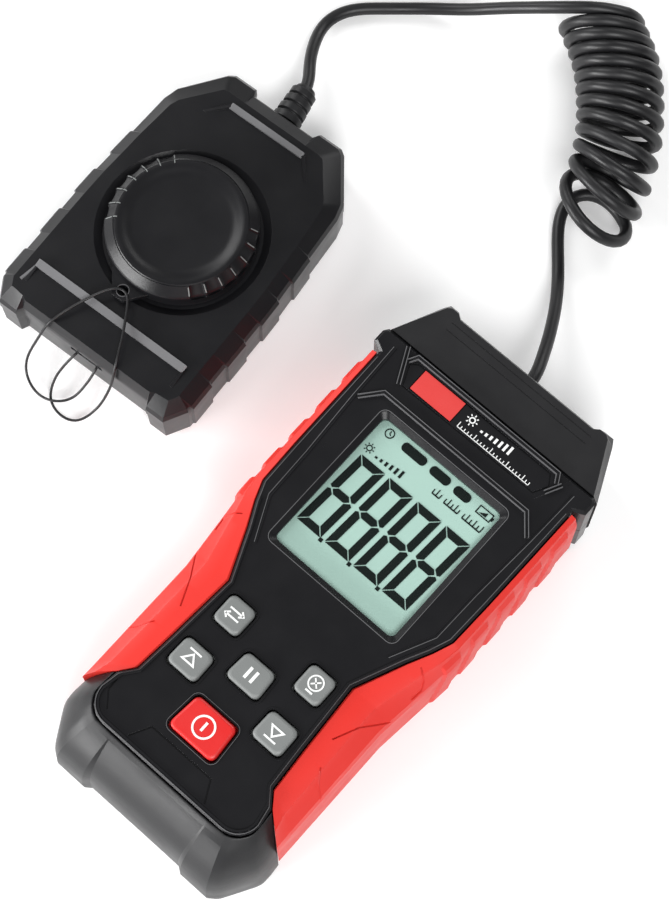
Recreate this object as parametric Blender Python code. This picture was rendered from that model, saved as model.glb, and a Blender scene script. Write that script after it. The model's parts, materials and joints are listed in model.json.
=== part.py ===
"""Handheld light meter: a display unit lying on its back and a capped sensor head on a curly cord.

Row frame: origin at the back of the display unit, +X to its right, +Y to its cord end, +Z up.
Sizes below are in millimetres; MM turns them into metres as each mesh is made.
"""
import math

import bmesh
import bpy
from mathutils import Matrix, Vector
from mathutils.geometry import interpolate_bezier

MM = 0.001
GAP = 0.3                     # clearance kept between neighbouring pieces

# Display unit, plan view: half widths and heights along Y
SEAM_Y = 60.2                 # end of the case, where the top cap begins
TOP_Y = 77.3                  # corner ears of the top cap
END_Y = 76.1                  # recessed middle of the top cap
SHOULDER_X = 36.4             # case shoulders beside the seam
SHOULDER_Y = 54.6             # where the shoulders end and the grips begin
DISPLAY_X = 33.2              # case beside the display
HIP_Y = 7.0                   # where the case starts to narrow
WAIST_X = 21.0
WAIST_Y = -18.8
FOOT_X = 27.1                 # case width at its foot
FOOT_Y = -67.5
FOOT_RADIUS = 7.0
CHEEK = (23.1, -51.2)         # lower end of the waist
TOE_Y = -81.2                 # corner toes of the bottom bumper
HEEL_Y = -79.9                # recessed middle of the bottom bumper
BUMPER_X = 34.5
GRIP_X = 36.8                 # outer half width of the grips beside the display
GRIP_LOW_X = 34.3             # the same at their lower tips

# Display unit, heights above the surface it lies on
SPLIT_Z = 16.0                # parting plane of the two shells
PLATE_Z = 32.0                # front plate
RIDGE_Z = 32.8                # ridges that stand on the plate
WINDOW_Z = 31.0               # top of the display window
BUTTON_Z = 33.0
WALL = 2.0
PLATE_THICK = 2.2

# Display
WINDOW_CENTRE_Y = 19.3
WINDOW_HALF = (20.2, 21.8)
CORNER_RADIUS = 1.6

# Buttons: centre, half width at the far and near edge, half length
BUTTONS = {
    "unit_button": ((-13.7, -24.8), 4.1, 4.1, 4.2),
    "light_button": ((13.7, -24.8), 4.1, 4.1, 4.2),
    "hold_button": ((0.0, -33.6), 4.8, 5.4, 4.2),
    "max_button": ((-14.4, -40.6), 4.6, 4.8, 4.2),
    "min_button": ((14.4, -40.6), 4.6, 4.8, 4.2),
    "power_button": ((0.0, -51.4), 6.7, 7.6, 5.3),
}
BUTTON_CLEARANCE = 0.5
BUTTON_FLANGE = 0.7
BOARD_Z = 20.4
BOARD_THICK = 1.6
MEMBRANE_Z = 26.0

# Batteries and their door in the back
CELL_RADIUS = 5.25
CELL_LENGTH = 44.5
CELL_PITCH = 11.2
CELL_Y = -28.7
CELL_Z = 8.6
DOOR_HALF_X = 17.4
DOOR_LOW_Y = -54.0
DOOR_HIGH_Y = -3.4
DOOR_THICK = 1.8
DOOR_RECESS = 0.4
DOOR_CORNER = 2.0
BAY_CORNER = 1.2

# Sensor head: its own frame stands at HEAD_PLACE, turned by HEAD_TURN
HEAD_PLACE = (-96.5, 15.0)
HEAD_TURN = math.radians(4.2)
HEAD_X = 33.0
HEAD_TOP_Y = 79.8
HEAD_NOTCH_Y = 77.8
HEAD_LOW_Y = -13.0
HEAD_HEEL_Y = -11.0
HEAD_FACE_X = 28.6
HEAD_FACE_Z = 20.0
HEAD_SPLIT_Z = 12.0
HEAD_CHAMFER_Z = 17.0
HEAD_WALL = 2.0
SENSOR_Y = 32.3
WELL_RADIUS = 24.5
WELL_DEPTH = 1.4
CAP_RADIUS = 21.3
CAP_TOP_Z = 27.0
COLLAR_RADIUS = 18.9
DOME_RADIUS = 15.0

# Screws in the backs of both housings
CASE_SCREWS = [(-27.0, 50.0), (27.0, 50.0), (-20.0, -57.0), (20.0, -57.0)]
HEAD_SCREWS = [(-23.0, 56.0), (23.0, 56.0), (-24.0, 2.0), (24.0, 2.0)]

# Raised ribs on the flanks of both housings
RIB_COUNT = 4
RIB_PITCH = 15.0
RIB_LENGTH = 8.0
RIB_HEIGHT = 0.6
RIB_RAMP = 0.5
GRIP_RIB_TOP_Y = 46.0
HEAD_RIB_TOP_Y = 48.0

# Cord
CORD_RADIUS = 1.8
COIL_RADIUS = 12.7
CORD_EXIT_Z = 16.0
RELIEF_Z = 9.2
RELIEF_RIBS = 4
RELIEF_TIP = (-105.5, 105.5, 9.0)
METER_RUN = [
    (0.0, 78.6, 16.0), (0.0, 81.0, 16.0), (-2.0, 85.0, 14.0), (-4.5, 91.0, 11.5),
    (-8.0, 98.0, 8.0), (-12.0, 105.0, 5.0), (-17.0, 112.0, 2.5), (-23.0, 119.0, 2.0),
    (-27.0, 124.0, 2.0),
]
COIL_AXIS = [
    (-56.0, 175.5, COIL_RADIUS), (-42.5, 167.0, COIL_RADIUS), (-30.5, 153.5, COIL_RADIUS),
    (-23.5, 141.0, COIL_RADIUS), (-20.0, 129.5, COIL_RADIUS),
]
HEAD_RUN = [
    (-63.0, 168.5, 22.0), (-70.0, 165.0, 18.0), (-79.0, 161.0, 12.0), (-88.0, 156.5, 6.0),
    (-98.0, 150.5, 2.5), (-108.0, 142.0, 2.0), (-115.0, 135.5, 2.0), (-118.0, 128.0, 2.0),
    (-115.5, 120.0, 3.5), (-110.0, 111.5, 7.5), (-106.0, 107.5, 8.5),
]

# Lanyard string, from one end of the slot in the head's heel through the cap's tab and back
STRING_RADIUS = 0.38
LANYARD = [
    (-3.0, -11.2, 13.0), (-4.5, -15.0, 9.5), (-6.0, -19.0, 3.0), (-4.0, -23.5, 1.0), (1.0, -25.5, 1.0),
    (6.0, -24.0, 1.0), (9.0, -18.5, 4.5), (10.5, -13.5, 13.0), (10.0, -9.5, 20.5), (5.5, 0.0, 22.0),
    (1.0, 7.5, 23.0), (-1.5, 8.5, 23.0), (-4.0, 7.0, 23.0), (-8.0, 0.5, 22.0), (-12.0, -9.5, 20.5),
    (-14.0, -14.0, 13.5), (-15.5, -19.0, 4.5), (-13.0, -22.5, 1.0), (-7.5, -24.5, 1.0), (-2.0, -23.5, 2.5),
    (1.5, -20.0, 3.5), (3.5, -15.0, 9.0), (4.0, -11.2, 13.0),
]

MATERIALS = {
    "shell_black": ((0.012, 0.012, 0.013), 0.42, 0.0),
    "rubber_black": ((0.022, 0.022, 0.024), 0.62, 0.0),
    "rubber_red": ((0.78, 0.06, 0.045), 0.5, 0.0),
    "key_grey": ((0.27, 0.28, 0.275), 0.5, 0.0),
    "key_red": ((0.72, 0.05, 0.04), 0.45, 0.0),
    "badge_red": ((0.75, 0.09, 0.08), 0.45, 0.0),
    "clear_plastic": ((0.75, 0.85, 0.8), 0.08, 0.0),
    "lcd_glass": ((0.4, 0.56, 0.49), 0.25, 0.0),
    "white_plastic": ((0.82, 0.82, 0.8), 0.45, 0.0),
    "board_green": ((0.02, 0.16, 0.07), 0.5, 0.0),
    "component_black": ((0.02, 0.02, 0.02), 0.4, 0.0),
    "steel": ((0.55, 0.56, 0.58), 0.3, 1.0),
    "cell_wrap": ((0.05, 0.06, 0.09), 0.35, 0.2),
    "cord_black": ((0.02, 0.02, 0.022), 0.5, 0.0),
    "silicone_grey": ((0.35, 0.35, 0.36), 0.6, 0.0),
    "filter_green": ((0.12, 0.3, 0.16), 0.1, 0.0),
}


def clear_scene():
    """Remove whatever objects the file opened with."""
    for old in list(bpy.data.objects):
        bpy.data.objects.remove(old, do_unlink=True)


def material(name):
    """The named Principled material, made the first time it is asked for."""
    found = bpy.data.materials.get(name)
    if found:
        return found
    colour, roughness, metallic = MATERIALS[name]
    made = bpy.data.materials.new(name)
    made.use_nodes = True
    shader = made.node_tree.nodes["Principled BSDF"]
    shader.inputs["Base Color"].default_value = (*colour, 1.0)
    shader.inputs["Roughness"].default_value = roughness
    shader.inputs["Metallic"].default_value = metallic
    return made


# ---------------------------------------------------------------- mesh helpers

def finish(name, bm, finish_name, parent=None, smooth=False):
    """Turn a bmesh in millimetres into a named object in metres with one material."""
    bmesh.ops.recalc_face_normals(bm, faces=bm.faces)
    bmesh.ops.scale(bm, vec=(MM, MM, MM), verts=bm.verts)
    mesh = bpy.data.meshes.new(name)
    bm.to_mesh(mesh)
    bm.free()
    mesh.materials.append(material(finish_name))
    if smooth:
        mesh.shade_smooth()
        mesh.set_sharp_from_angle(angle=math.radians(35))
    obj = bpy.data.objects.new(name, mesh)
    bpy.context.collection.objects.link(obj)
    obj.parent = parent
    return obj


def set_origin(obj, point):
    """Move an object's origin to a point given in millimetres, leaving its shape where it is."""
    offset = Vector(point) * MM
    obj.data.transform(Matrix.Translation(-offset))
    obj.location = offset


def add_loft(bm, rings):
    """Skin a list of rings, each with the same number of points, and close both ends."""
    loops = [[bm.verts.new(point) for point in ring] for ring in rings]
    count = len(loops[0])
    for low, high in zip(loops, loops[1:]):
        for i in range(count):
            j = (i + 1) % count
            bm.faces.new((low[i], low[j], high[j], high[i]))
    bm.faces.new(loops[0])
    bm.faces.new(loops[-1])


def at_height(outline, z):
    return [(x, y, z) for x, y in outline]


def add_prism(bm, outline, low, high):
    add_loft(bm, [at_height(outline, low), at_height(outline, high)])


def prism(name, outline, low, high, finish_name, parent=None):
    bm = bmesh.new()
    add_prism(bm, outline, low, high)
    return finish(name, bm, finish_name, parent)


def loft(name, rings, finish_name, parent=None, smooth=False):
    bm = bmesh.new()
    add_loft(bm, rings)
    return finish(name, bm, finish_name, parent, smooth)


def box_outline(centre, half_x, half_y):
    x, y = centre
    low_x, high_x = x - half_x, x + half_x
    low_y, high_y = y - half_y, y + half_y
    return [(low_x, low_y), (high_x, low_y), (high_x, high_y), (low_x, high_y)]


def rounded(outline, radius, steps=3):
    """The outline with each corner turned into an arc."""
    out = []
    count = len(outline)
    for i, corner in enumerate(outline):
        point = Vector(corner)
        before = (Vector(outline[i - 1]) - point).normalized()
        after = (Vector(outline[(i + 1) % count]) - point).normalized()
        half_angle = before.angle(after) / 2
        reach = radius / math.tan(half_angle)
        middle = point + (before + after).normalized() * radius / math.sin(half_angle)
        start = point + before * reach - middle
        stop = point + after * reach - middle
        for k in range(steps + 1):
            out.append(tuple(middle + start.slerp(stop, k / steps).normalized() * radius))
    return out


def mirrored(right_half):
    """Close a right-hand half outline, listed from its top to its bottom, with its mirror image."""
    left = [(-x, y) for x, y in reversed(right_half) if x > 0.001]
    return list(right_half) + left


def inset(outline, distance):
    """The closed outline moved inwards, with mitred corners."""
    count = len(outline)
    area = sum(outline[i][0] * outline[(i + 1) % count][1] - outline[(i + 1) % count][0] * outline[i][1]
               for i in range(count))
    turn = 1.0 if area > 0 else -1.0
    out = []
    for i in range(count):
        here = Vector(outline[i])
        into = (here - Vector(outline[i - 1])).normalized()
        away = (Vector(outline[(i + 1) % count]) - here).normalized()
        normal_in = Vector((-into.y, into.x)) * turn
        normal_out = Vector((-away.y, away.x)) * turn
        bisector = (normal_in + normal_out).normalized()
        out.append(tuple(here + bisector * distance / max(0.35, bisector.dot(normal_in))))
    return out


def circle(centre, radius, segments=32):
    x, y = centre
    return [(x + radius * math.cos(a), y + radius * math.sin(a))
            for a in (2 * math.pi * k / segments for k in range(segments))]


def add_turned(bm, profile, centre, segments=32):
    """Turn a closed (radius, height) profile about a vertical line; radius 0 points become one vertex."""
    x, y = centre
    columns = []
    for radius, z in profile:
        if radius < 0.001:
            columns.append([bm.verts.new((x, y, z))])
        else:
            columns.append([bm.verts.new((px, py, z)) for px, py in circle(centre, radius, segments)])
    pairs = list(zip(columns, columns[1:]))
    if len(columns[0]) > 1:
        pairs.append((columns[-1], columns[0]))
    for low, high in pairs:
        for i in range(segments):
            j = (i + 1) % segments
            if len(low) == 1:
                bm.faces.new((low[0], high[j], high[i]))
            elif len(high) == 1:
                bm.faces.new((low[i], low[j], high[0]))
            else:
                bm.faces.new((low[i], low[j], high[j], high[i]))


def turned(name, profile, centre, finish_name, parent=None, segments=32):
    bm = bmesh.new()
    add_turned(bm, profile, centre, segments)
    return finish(name, bm, finish_name, parent, smooth=True)


def add_rod(bm, start, stop, radius, segments=12):
    """A round bar between two points."""
    start, stop = Vector(start), Vector(stop)
    side = (stop - start).orthogonal().normalized()
    across = (stop - start).cross(side).normalized()
    rings = []
    for end in (start, stop):
        rings.append([end + (side * math.cos(a) + across * math.sin(a)) * radius
                      for a in (2 * math.pi * k / segments for k in range(segments))])
    add_loft(bm, rings)


def boolean(target, tool_mesh_builder, operation="DIFFERENCE"):
    """Cut from, or add to, an object the solid that a builder function puts in a bmesh."""
    bm = bmesh.new()
    tool_mesh_builder(bm)
    tool = finish(target.name + "_tool", bm, target.data.materials[0].name, target.parent)
    step = target.modifiers.new("boolean", "BOOLEAN")
    step.operation = operation
    step.solver = "EXACT"
    step.object = tool
    bpy.context.view_layer.update()
    shaped = bpy.data.meshes.new_from_object(target.evaluated_get(bpy.context.evaluated_depsgraph_get()))
    target.modifiers.remove(step)
    target.data = shaped
    bpy.data.objects.remove(tool, do_unlink=True)


def cut_prism(target, outline, low, high):
    boolean(target, lambda bm: add_prism(bm, outline, low, high))


def add_ridge(bm, points, width, top, base):
    """A low ridge along a polyline, whose two ends run down into the surface."""
    rings = []
    last = len(points) - 1
    for i, point in enumerate(points):
        here = Vector(point)
        into = (here - Vector(points[max(i - 1, 0)])).normalized() if i else None
        away = (Vector(points[min(i + 1, last)]) - here).normalized() if i < last else None
        into = into or away
        away = away or into
        along = (into + away).normalized()
        across = Vector((-along.y, along.x)) / max(0.5, along.dot(away))
        crest = top - 0.9 * (top - PLATE_Z) if i in (0, last) else top
        wide = width / 2
        narrow = width / 4
        rings.append([
            (*(here - across * wide), base), (*(here + across * wide), base),
            (*(here + across * narrow), crest), (*(here - across * narrow), crest),
        ])
    add_loft(bm, rings)


def smooth_route(points, spacing):
    """Points read every spacing from a smooth curve through the route's own points."""
    route = [Vector(p) for p in points]
    dense = [route[0]]
    for i in range(len(route) - 1):
        before = route[max(i - 1, 0)]
        after = route[min(i + 2, len(route) - 1)]
        leave = route[i] + (route[i + 1] - before) / 6
        arrive = route[i + 1] - (after - route[i]) / 6
        dense += interpolate_bezier(route[i], leave, arrive, route[i + 1], 24)[1:]
    total = sum((b - a).length for a, b in zip(dense, dense[1:]))
    steps = max(2, round(total / spacing))
    out = [dense[0]]
    travelled = 0.0
    for a, b in zip(dense, dense[1:]):
        travelled += (b - a).length
        if travelled >= total * len(out) / steps and len(out) < steps:
            out.append(b)
    return out + [dense[-1]]


def tube(name, points, radius, spacing, finish_name, parent=None):
    """A round cord along a smooth route, as a curve with a bevel and filled caps."""
    path = smooth_route(points, spacing)
    curve = bpy.data.curves.new(name, "CURVE")
    curve.dimensions = "3D"
    curve.bevel_depth = radius * MM
    curve.bevel_resolution = 2
    curve.use_fill_caps = True
    spline = curve.splines.new("POLY")
    spline.points.add(len(path) - 1)
    for knot, point in zip(spline.points, path):
        knot.co = (*(Vector(point) * MM), 1.0)
    curve.materials.append(material(finish_name))
    obj = bpy.data.objects.new(name, curve)
    bpy.context.collection.objects.link(obj)
    obj.parent = parent
    return obj


# ---------------------------------------------------------------- outlines of the display unit

def case_half():
    """Right half of the case in plan, from the seam down to the foot."""
    turns = [math.radians(22.5) * k for k in range(5)]
    arc_x, arc_y = FOOT_X - FOOT_RADIUS, FOOT_Y + FOOT_RADIUS
    arc = [(arc_x + FOOT_RADIUS * math.cos(a), arc_y - FOOT_RADIUS * math.sin(a)) for a in turns]
    return [
        (0.0, SEAM_Y), (SHOULDER_X - 1.0, SEAM_Y), (SHOULDER_X, SEAM_Y - 1.4),
        (SHOULDER_X, SHOULDER_Y + 0.6), (DISPLAY_X, SHOULDER_Y - 1.0), (DISPLAY_X - 0.4, 20.0),
        (DISPLAY_X - 0.8, HIP_Y), (30.2, 1.4), (27.0, -5.0), (WAIST_X, WAIST_Y), (22.2, -39.0), CHEEK,
        (FOOT_X - 0.7, -55.4), *arc, (0.0, FOOT_Y),
    ]


def case_edge_x(y):
    """Half width of the case at a height along Y between the shoulders and the foot."""
    edge = case_half()[4:13]
    for (x0, y0), (x1, y1) in zip(edge, edge[1:]):
        if y1 <= y <= y0:
            return x0 + (x1 - x0) * (y - y0) / (y1 - y0)
    return edge[-1][0]


def grip_outer_x(y):
    """Outer half width of a grip: straight beside the display, slimmer towards the foot."""
    if y > 2.0:
        return GRIP_X
    return GRIP_X + (GRIP_LOW_X - GRIP_X) * min(1.0, (2.0 - y) / 24.0)


def button_outline(name, growth=0.0):
    (x, y), far, near, length = BUTTONS[name]
    far, near, length = far + growth, near + growth, length + growth
    corners = [(x - near, y - length), (x + near, y - length), (x + far, y + length), (x - far, y + length)]
    return rounded(corners, CORNER_RADIUS)


# ---------------------------------------------------------------- display unit, outside

def ridge_lines():
    """Polylines of the low ridges on the front plate, right of the centre line where they are paired."""
    name_ridge = [(-25.4, 56.4), (-24.0, 58.9), (24.0, 58.9), (25.4, 56.4)]
    display_ridge = [(-29.0, 40.2), (-24.4, 45.6), (24.4, 45.6), (29.0, 40.2)]
    slash = [(-28.0, 59.4), (-23.2, 49.8)]
    return [name_ridge, display_ridge, slash, [(-x, y) for x, y in slash]]


def make_front_shell():
    outline = mirrored(case_half())
    rings = [at_height(outline, SPLIT_Z), at_height(outline, PLATE_Z - 0.8),
             at_height(inset(outline, 0.8), PLATE_Z)]
    shell = loft("front_shell", rings, "shell_black")
    cut_prism(shell, inset(outline, WALL), SPLIT_Z - 1.0, PLATE_Z - PLATE_THICK)
    for line in ridge_lines():
        boolean(shell, lambda bm: add_ridge(bm, line, 1.7, RIDGE_Z, PLATE_Z - 0.7), "UNION")
    centre = (0.0, WINDOW_CENTRE_Y)
    half_x, half_y = WINDOW_HALF
    opening = rounded(box_outline(centre, half_x, half_y), CORNER_RADIUS)
    mouth = rounded(box_outline(centre, half_x + 1.6, half_y + 1.6), CORNER_RADIUS + 0.6)
    cut_prism(shell, opening, PLATE_Z - PLATE_THICK - 1.0, PLATE_Z + 1.0)
    slope = [at_height(opening, WINDOW_Z - 0.1), at_height(mouth, PLATE_Z + 0.1)]
    boolean(shell, lambda bm: add_loft(bm, slope))
    for name in BUTTONS:
        cut_prism(shell, button_outline(name, BUTTON_CLEARANCE), PLATE_Z - 4.0, PLATE_Z + 1.0)
    cut_prism(shell, badge_outline(GAP), PLATE_Z - 0.6, PLATE_Z + 1.0)


def badge_outline(growth=0.0):
    return box_outline((-13.4, 54.3), 6.9 + growth, 3.2 + growth)


def door_outline(corner, growth=0.0):
    middle = (0.0, (DOOR_LOW_Y + DOOR_HIGH_Y) / 2)
    half_y = (DOOR_HIGH_Y - DOOR_LOW_Y) / 2 + growth
    return rounded(box_outline(middle, DOOR_HALF_X + growth, half_y), corner)


def make_rear_shell():
    """The back half, whose door opening has squarer corners than the door, so that the door clears them."""
    outline = mirrored(case_half())
    foot = at_height(inset(outline, 1.5), 0.0)
    rings = [foot, at_height(outline, 2.0), at_height(outline, SPLIT_Z - GAP)]
    shell = loft("rear_shell", rings, "shell_black")
    cut_prism(shell, inset(outline, WALL), 2.6, SPLIT_Z + 1.0)
    cut_prism(shell, door_outline(BAY_CORNER, GAP), -1.0, 4.0)
    for centre in CASE_SCREWS:
        cut_prism(shell, circle(centre, 2.6, 16), -1.0, 4.0)


def cap_outline(shrink, seam):
    half = [
        (SHOULDER_X - shrink, seam), (SHOULDER_X - 1.4 - shrink, seam + 3.0),
        (29.4 - shrink, 75.4 - 0.4 * shrink), (28.2 - shrink, TOP_Y - shrink),
        (25.4 - 0.6 * shrink, TOP_Y - shrink), (23.8 - 0.6 * shrink, END_Y - shrink),
    ]
    return mirrored([(0.0, seam)] + half + [(0.0, END_Y - shrink)])


def make_top_cap():
    seam = SEAM_Y + GAP
    profile = [(2.4, 0.6), (0.6, 2.2), (0.0, 5.0), (0.0, 27.0), (1.7, 31.6)]
    rings = [at_height(cap_outline(shrink, seam), z) for shrink, z in profile]
    cap = loft("top_cap", rings, "rubber_black")
    inside = mirrored([(0.0, seam - 1.0), (32.0, seam - 1.0), (30.6, 64.0), (25.6, 72.8), (0.0, 72.8)])
    cut_prism(cap, inside, 3.4, 28.6)
    boolean(cap, lambda bm: add_rod(bm, (0, 70, CORD_EXIT_Z), (0, 80, CORD_EXIT_Z), 3.3, 20))


def add_wrap(bm, pairs, profile):
    """Skin a piece that wraps the case: each pair gives its inner and outer edge in plan.

    The profile lists (share of the way from inner to outer edge, height).
    """
    rings = []
    for inner, outer in pairs:
        inner, outer = Vector(inner), Vector(outer)
        rings.append([(*inner.lerp(outer, share), z) for share, z in profile])
    add_loft(bm, rings)


GRIP_PROFILE = [(0.0, 1.2), (0.0, 31.4), (0.3, 31.0), (0.82, 28.6), (1.0, 25.0), (1.0, 8.0), (0.72, 1.2)]
BUMPER_PROFILE = [
    (0.0, 0.6), (0.0, 31.3), (0.3, 28.9), (0.6, 25.4), (0.82, 21.4), (0.95, 16.0), (1.0, 8.0), (0.97, 3.0),
    (0.86, 0.6),
]


def grip_pairs():
    """Inner and outer edge of the right grip in plan, from its top end to its slanted lower end."""
    heights = [SHOULDER_Y - 1.6, 52.0]
    rib_tops = [GRIP_RIB_TOP_Y - RIB_PITCH * k for k in range(RIB_COUNT)]
    for top in rib_tops:
        heights += [top + RIB_RAMP, top, top - RIB_LENGTH, top - RIB_LENGTH - RIB_RAMP]
    heights += [HIP_Y, 1.4, -5.0, -11.9, WAIST_Y, -28.0, -39.0, CHEEK[1] + GAP]
    pairs = []
    for y in sorted(set(heights), reverse=True):
        outer = grip_outer_x(y)
        raised = any(top - RIB_LENGTH <= y <= top for top in rib_tops)
        outer += 0.0 if raised or y < -8.0 else -RIB_HEIGHT
        pairs.append(((case_edge_x(y) + GAP + 0.1, y), (outer, y)))
    pairs.append(((FOOT_X - 0.7 + GAP, -55.0), (GRIP_LOW_X, -61.6)))
    return pairs


def make_grips():
    for name, side in (("left_grip", -1), ("right_grip", 1)):
        bm = bmesh.new()
        pairs = []
        for inner, outer in grip_pairs():
            pairs.append(((side * inner[0], inner[1]), (side * outer[0], outer[1])))
        add_wrap(bm, pairs, GRIP_PROFILE)
        finish(name, bm, "rubber_red")


def bumper_pairs():
    """Inner and outer edge of the bumper's right half, from the grip's end round to the centre line."""
    foot = inset(mirrored(case_half()), -GAP)
    arc = foot[12:18]
    return [
        ((FOOT_X - 0.6 + GAP, -55.8), (GRIP_LOW_X + 0.1, -62.5)),
        (arc[1], (BUMPER_X, -66.2)),
        (arc[2], (BUMPER_X - 0.2, -69.4)),
        (arc[3], (31.6, -74.4)),
        (arc[4], (28.7, -79.4)),
        (arc[5], (26.2, TOE_Y)),
        ((17.0, FOOT_Y - GAP), (17.2, TOE_Y)),
        ((15.6, FOOT_Y - GAP), (15.4, HEEL_Y)),
        ((0.0, FOOT_Y - GAP), (0.0, HEEL_Y)),
    ]


def make_bottom_bumper():
    right = bumper_pairs()
    left = [((-inner[0], inner[1]), (-outer[0], outer[1])) for inner, outer in reversed(right[:-1])]
    bm = bmesh.new()
    add_wrap(bm, right + left, BUMPER_PROFILE)
    finish("bottom_bumper", bm, "rubber_black")


# ---------------------------------------------------------------- display unit, inside

def make_display():
    centre = (0.0, WINDOW_CENTRE_Y)
    half_x, half_y = WINDOW_HALF
    lens = rounded(box_outline(centre, half_x - GAP, half_y - GAP), CORNER_RADIUS - GAP)
    prism("lcd_window", lens, WINDOW_Z - 1.4, WINDOW_Z, "clear_plastic")
    glass = box_outline(centre, half_x + 0.6, half_y + 0.6)
    prism("lcd_panel", glass, 26.6, WINDOW_Z - 1.4 - GAP, "lcd_glass")
    prism("lcd_backlight", box_outline(centre, half_x, half_y), 24.0, 26.3, "white_plastic")
    frame = prism("lcd_frame", box_outline(centre, half_x + 3.0, half_y + 2.2), 23.6, 29.2, "white_plastic")
    cut_prism(frame, box_outline(centre, half_x + 1.0, half_y + 1.0), 23.0, 30.0)
    strip = box_outline((0.0, WINDOW_CENTRE_Y + half_y - 1.6), half_x - 2.0, 0.9)
    prism("lcd_contact_strip", strip, 22.3, 23.7, "silicone_grey")


def make_board():
    outline = inset(mirrored(case_half()), WALL + 1.2)
    prism("main_board", outline, BOARD_Z, BOARD_Z + BOARD_THICK, "board_green")
    chip = box_outline((6.0, 30.0), 5.0, 5.0)
    prism("processor_chip", chip, BOARD_Z - 2.0, BOARD_Z - GAP, "component_black")
    make_dome_sheet()
    socket = box_outline((0.0, 53.0), 5.0, 3.0)
    prism("cord_connector", socket, BOARD_Z - 5.0, BOARD_Z - GAP, "white_plastic")


def make_dome_sheet():
    """A thin sheet over the board with a snap dome under each button."""
    low = BOARD_Z + BOARD_THICK + GAP
    sheet = prism("dome_sheet", keypad_outline(), low, low + 0.5, "steel")
    profile = ((3.0, low + 0.3), (2.9, low + 1.4), (1.6, low + 2.2))
    for centre, _, _, _ in BUTTONS.values():
        rings = [at_height(circle(centre, radius, 12), z) for radius, z in profile]
        boolean(sheet, lambda bm: add_loft(bm, rings), "UNION")


def keypad_outline():
    return mirrored([(0.0, -18.6), (18.0, -18.6), (18.6, -46.0), (14.0, -59.0), (0.0, -59.0)])


def make_keypad():
    prism("keypad_membrane", keypad_outline(), MEMBRANE_Z, MEMBRANE_Z + 1.2, "silicone_grey")
    for name, (centre, _, _, _) in BUTTONS.items():
        bm = bmesh.new()
        rings = [
            at_height(button_outline(name, BUTTON_FLANGE), MEMBRANE_Z + 2.4),
            at_height(button_outline(name, BUTTON_FLANGE), MEMBRANE_Z + 3.2),
            at_height(button_outline(name, 0.0), MEMBRANE_Z + 3.21),
            at_height(button_outline(name, 0.0), BUTTON_Z - 0.5),
            at_height(button_outline(name, -0.5), BUTTON_Z),
        ]
        add_loft(bm, rings)
        key = finish(name, bm, "key_red" if name == "power_button" else "key_grey")
        set_origin(key, (*centre, BUTTON_Z))


def make_contacts(name, plate_y, tip_y, radius):
    """A plate across the three cells, with a round stud that reaches towards each one."""
    plate = prism(name, box_outline((0.0, plate_y), 15.6, 0.3), CELL_Z - 3.6, CELL_Z + 3.6, "steel")
    for k in (-1, 0, 1):
        root = (CELL_PITCH * k, plate_y, CELL_Z)
        tip = (CELL_PITCH * k, tip_y, CELL_Z)
        boolean(plate, lambda bm: add_rod(bm, root, tip, radius, 12), "UNION")


def make_batteries():
    near_y = CELL_Y - CELL_LENGTH / 2
    far_y = CELL_Y + CELL_LENGTH / 2
    for k in (-1, 0, 1):
        bm = bmesh.new()
        x = CELL_PITCH * k
        add_rod(bm, (x, near_y, CELL_Z), (x, far_y, CELL_Z), CELL_RADIUS, 16)
        finish("battery_cell_%d" % (k + 2), bm, "cell_wrap", smooth=True)
    make_contacts("battery_contacts", far_y + 1.2, far_y + GAP, 2.2)
    make_contacts("battery_springs", near_y - 2.5, near_y - GAP, 2.6)
    middle = (0.0, (DOOR_LOW_Y + DOOR_HIGH_Y) / 2)
    half_y = (DOOR_HIGH_Y - DOOR_LOW_Y) / 2
    walls = box_outline(middle, DOOR_HALF_X + 1.1, half_y + 1.2)
    tray = prism("battery_tray", walls, 2.9, 15.4, "shell_black")
    cut_prism(tray, box_outline(middle, DOOR_HALF_X, half_y), 2.0, 14.2)


def make_battery_door():
    """The door turns on its lower edge and snaps shut at its upper edge."""
    outline = door_outline(DOOR_CORNER)
    door = prism("battery_cover", outline, DOOR_RECESS, DOOR_RECESS + DOOR_THICK, "shell_black")
    catch = box_outline((0.0, DOOR_HIGH_Y - 1.2), 4.0, 0.8)
    boolean(door, lambda bm: add_prism(bm, catch, 1.0, 4.0), "UNION")
    set_origin(door, (0.0, DOOR_LOW_Y + 0.6, DOOR_RECESS + 0.3))
    pad = box_outline((0.0, CELL_Y), 12.0, 8.0)
    prism("cover_pad", pad, DOOR_RECESS + DOOR_THICK + GAP, 3.1, "silicone_grey")


def make_screw(name, centre, head_z, tip_z, parent=None):
    """A pan-head screw driven in from the back."""
    neck_z = head_z + 1.6
    profile = [(0.0, head_z), (2.3, head_z), (2.3, neck_z), (1.2, neck_z), (1.2, tip_z), (0.0, tip_z)]
    turned(name, profile, centre, "steel", parent, 12)


def make_case_screws():
    for k, centre in enumerate(CASE_SCREWS):
        make_screw("case_screw_%d" % (k + 1), centre, 0.6, 15.0)


def make_cord_entry():
    """The bush in the end wall and the clamp that holds the cord inside the cap."""
    stations = [(70.8, 3.0), (END_Y + 0.3, 3.0), (END_Y + 0.4, 3.6), (END_Y + 1.2, 3.4), (78.0, 2.4)]
    rings = []
    for y, radius in stations:
        ring = circle((0.0, CORD_EXIT_Z), radius, 20)
        rings.append([(x, y, z) for x, z in ring])
    loft("cord_bush", rings, "rubber_black", smooth=True)
    jaw = box_outline((0.0, 66.0), 8.0, 2.5)
    clamp = prism("cord_clamp", jaw, CORD_EXIT_Z - 4.0, CORD_EXIT_Z + 4.0, "white_plastic")
    start, stop = (0, 60, CORD_EXIT_Z), (0, 72, CORD_EXIT_Z)
    boolean(clamp, lambda bm: add_rod(bm, start, stop, CORD_RADIUS + GAP, 12))


# ---------------------------------------------------------------- sensor head

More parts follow.
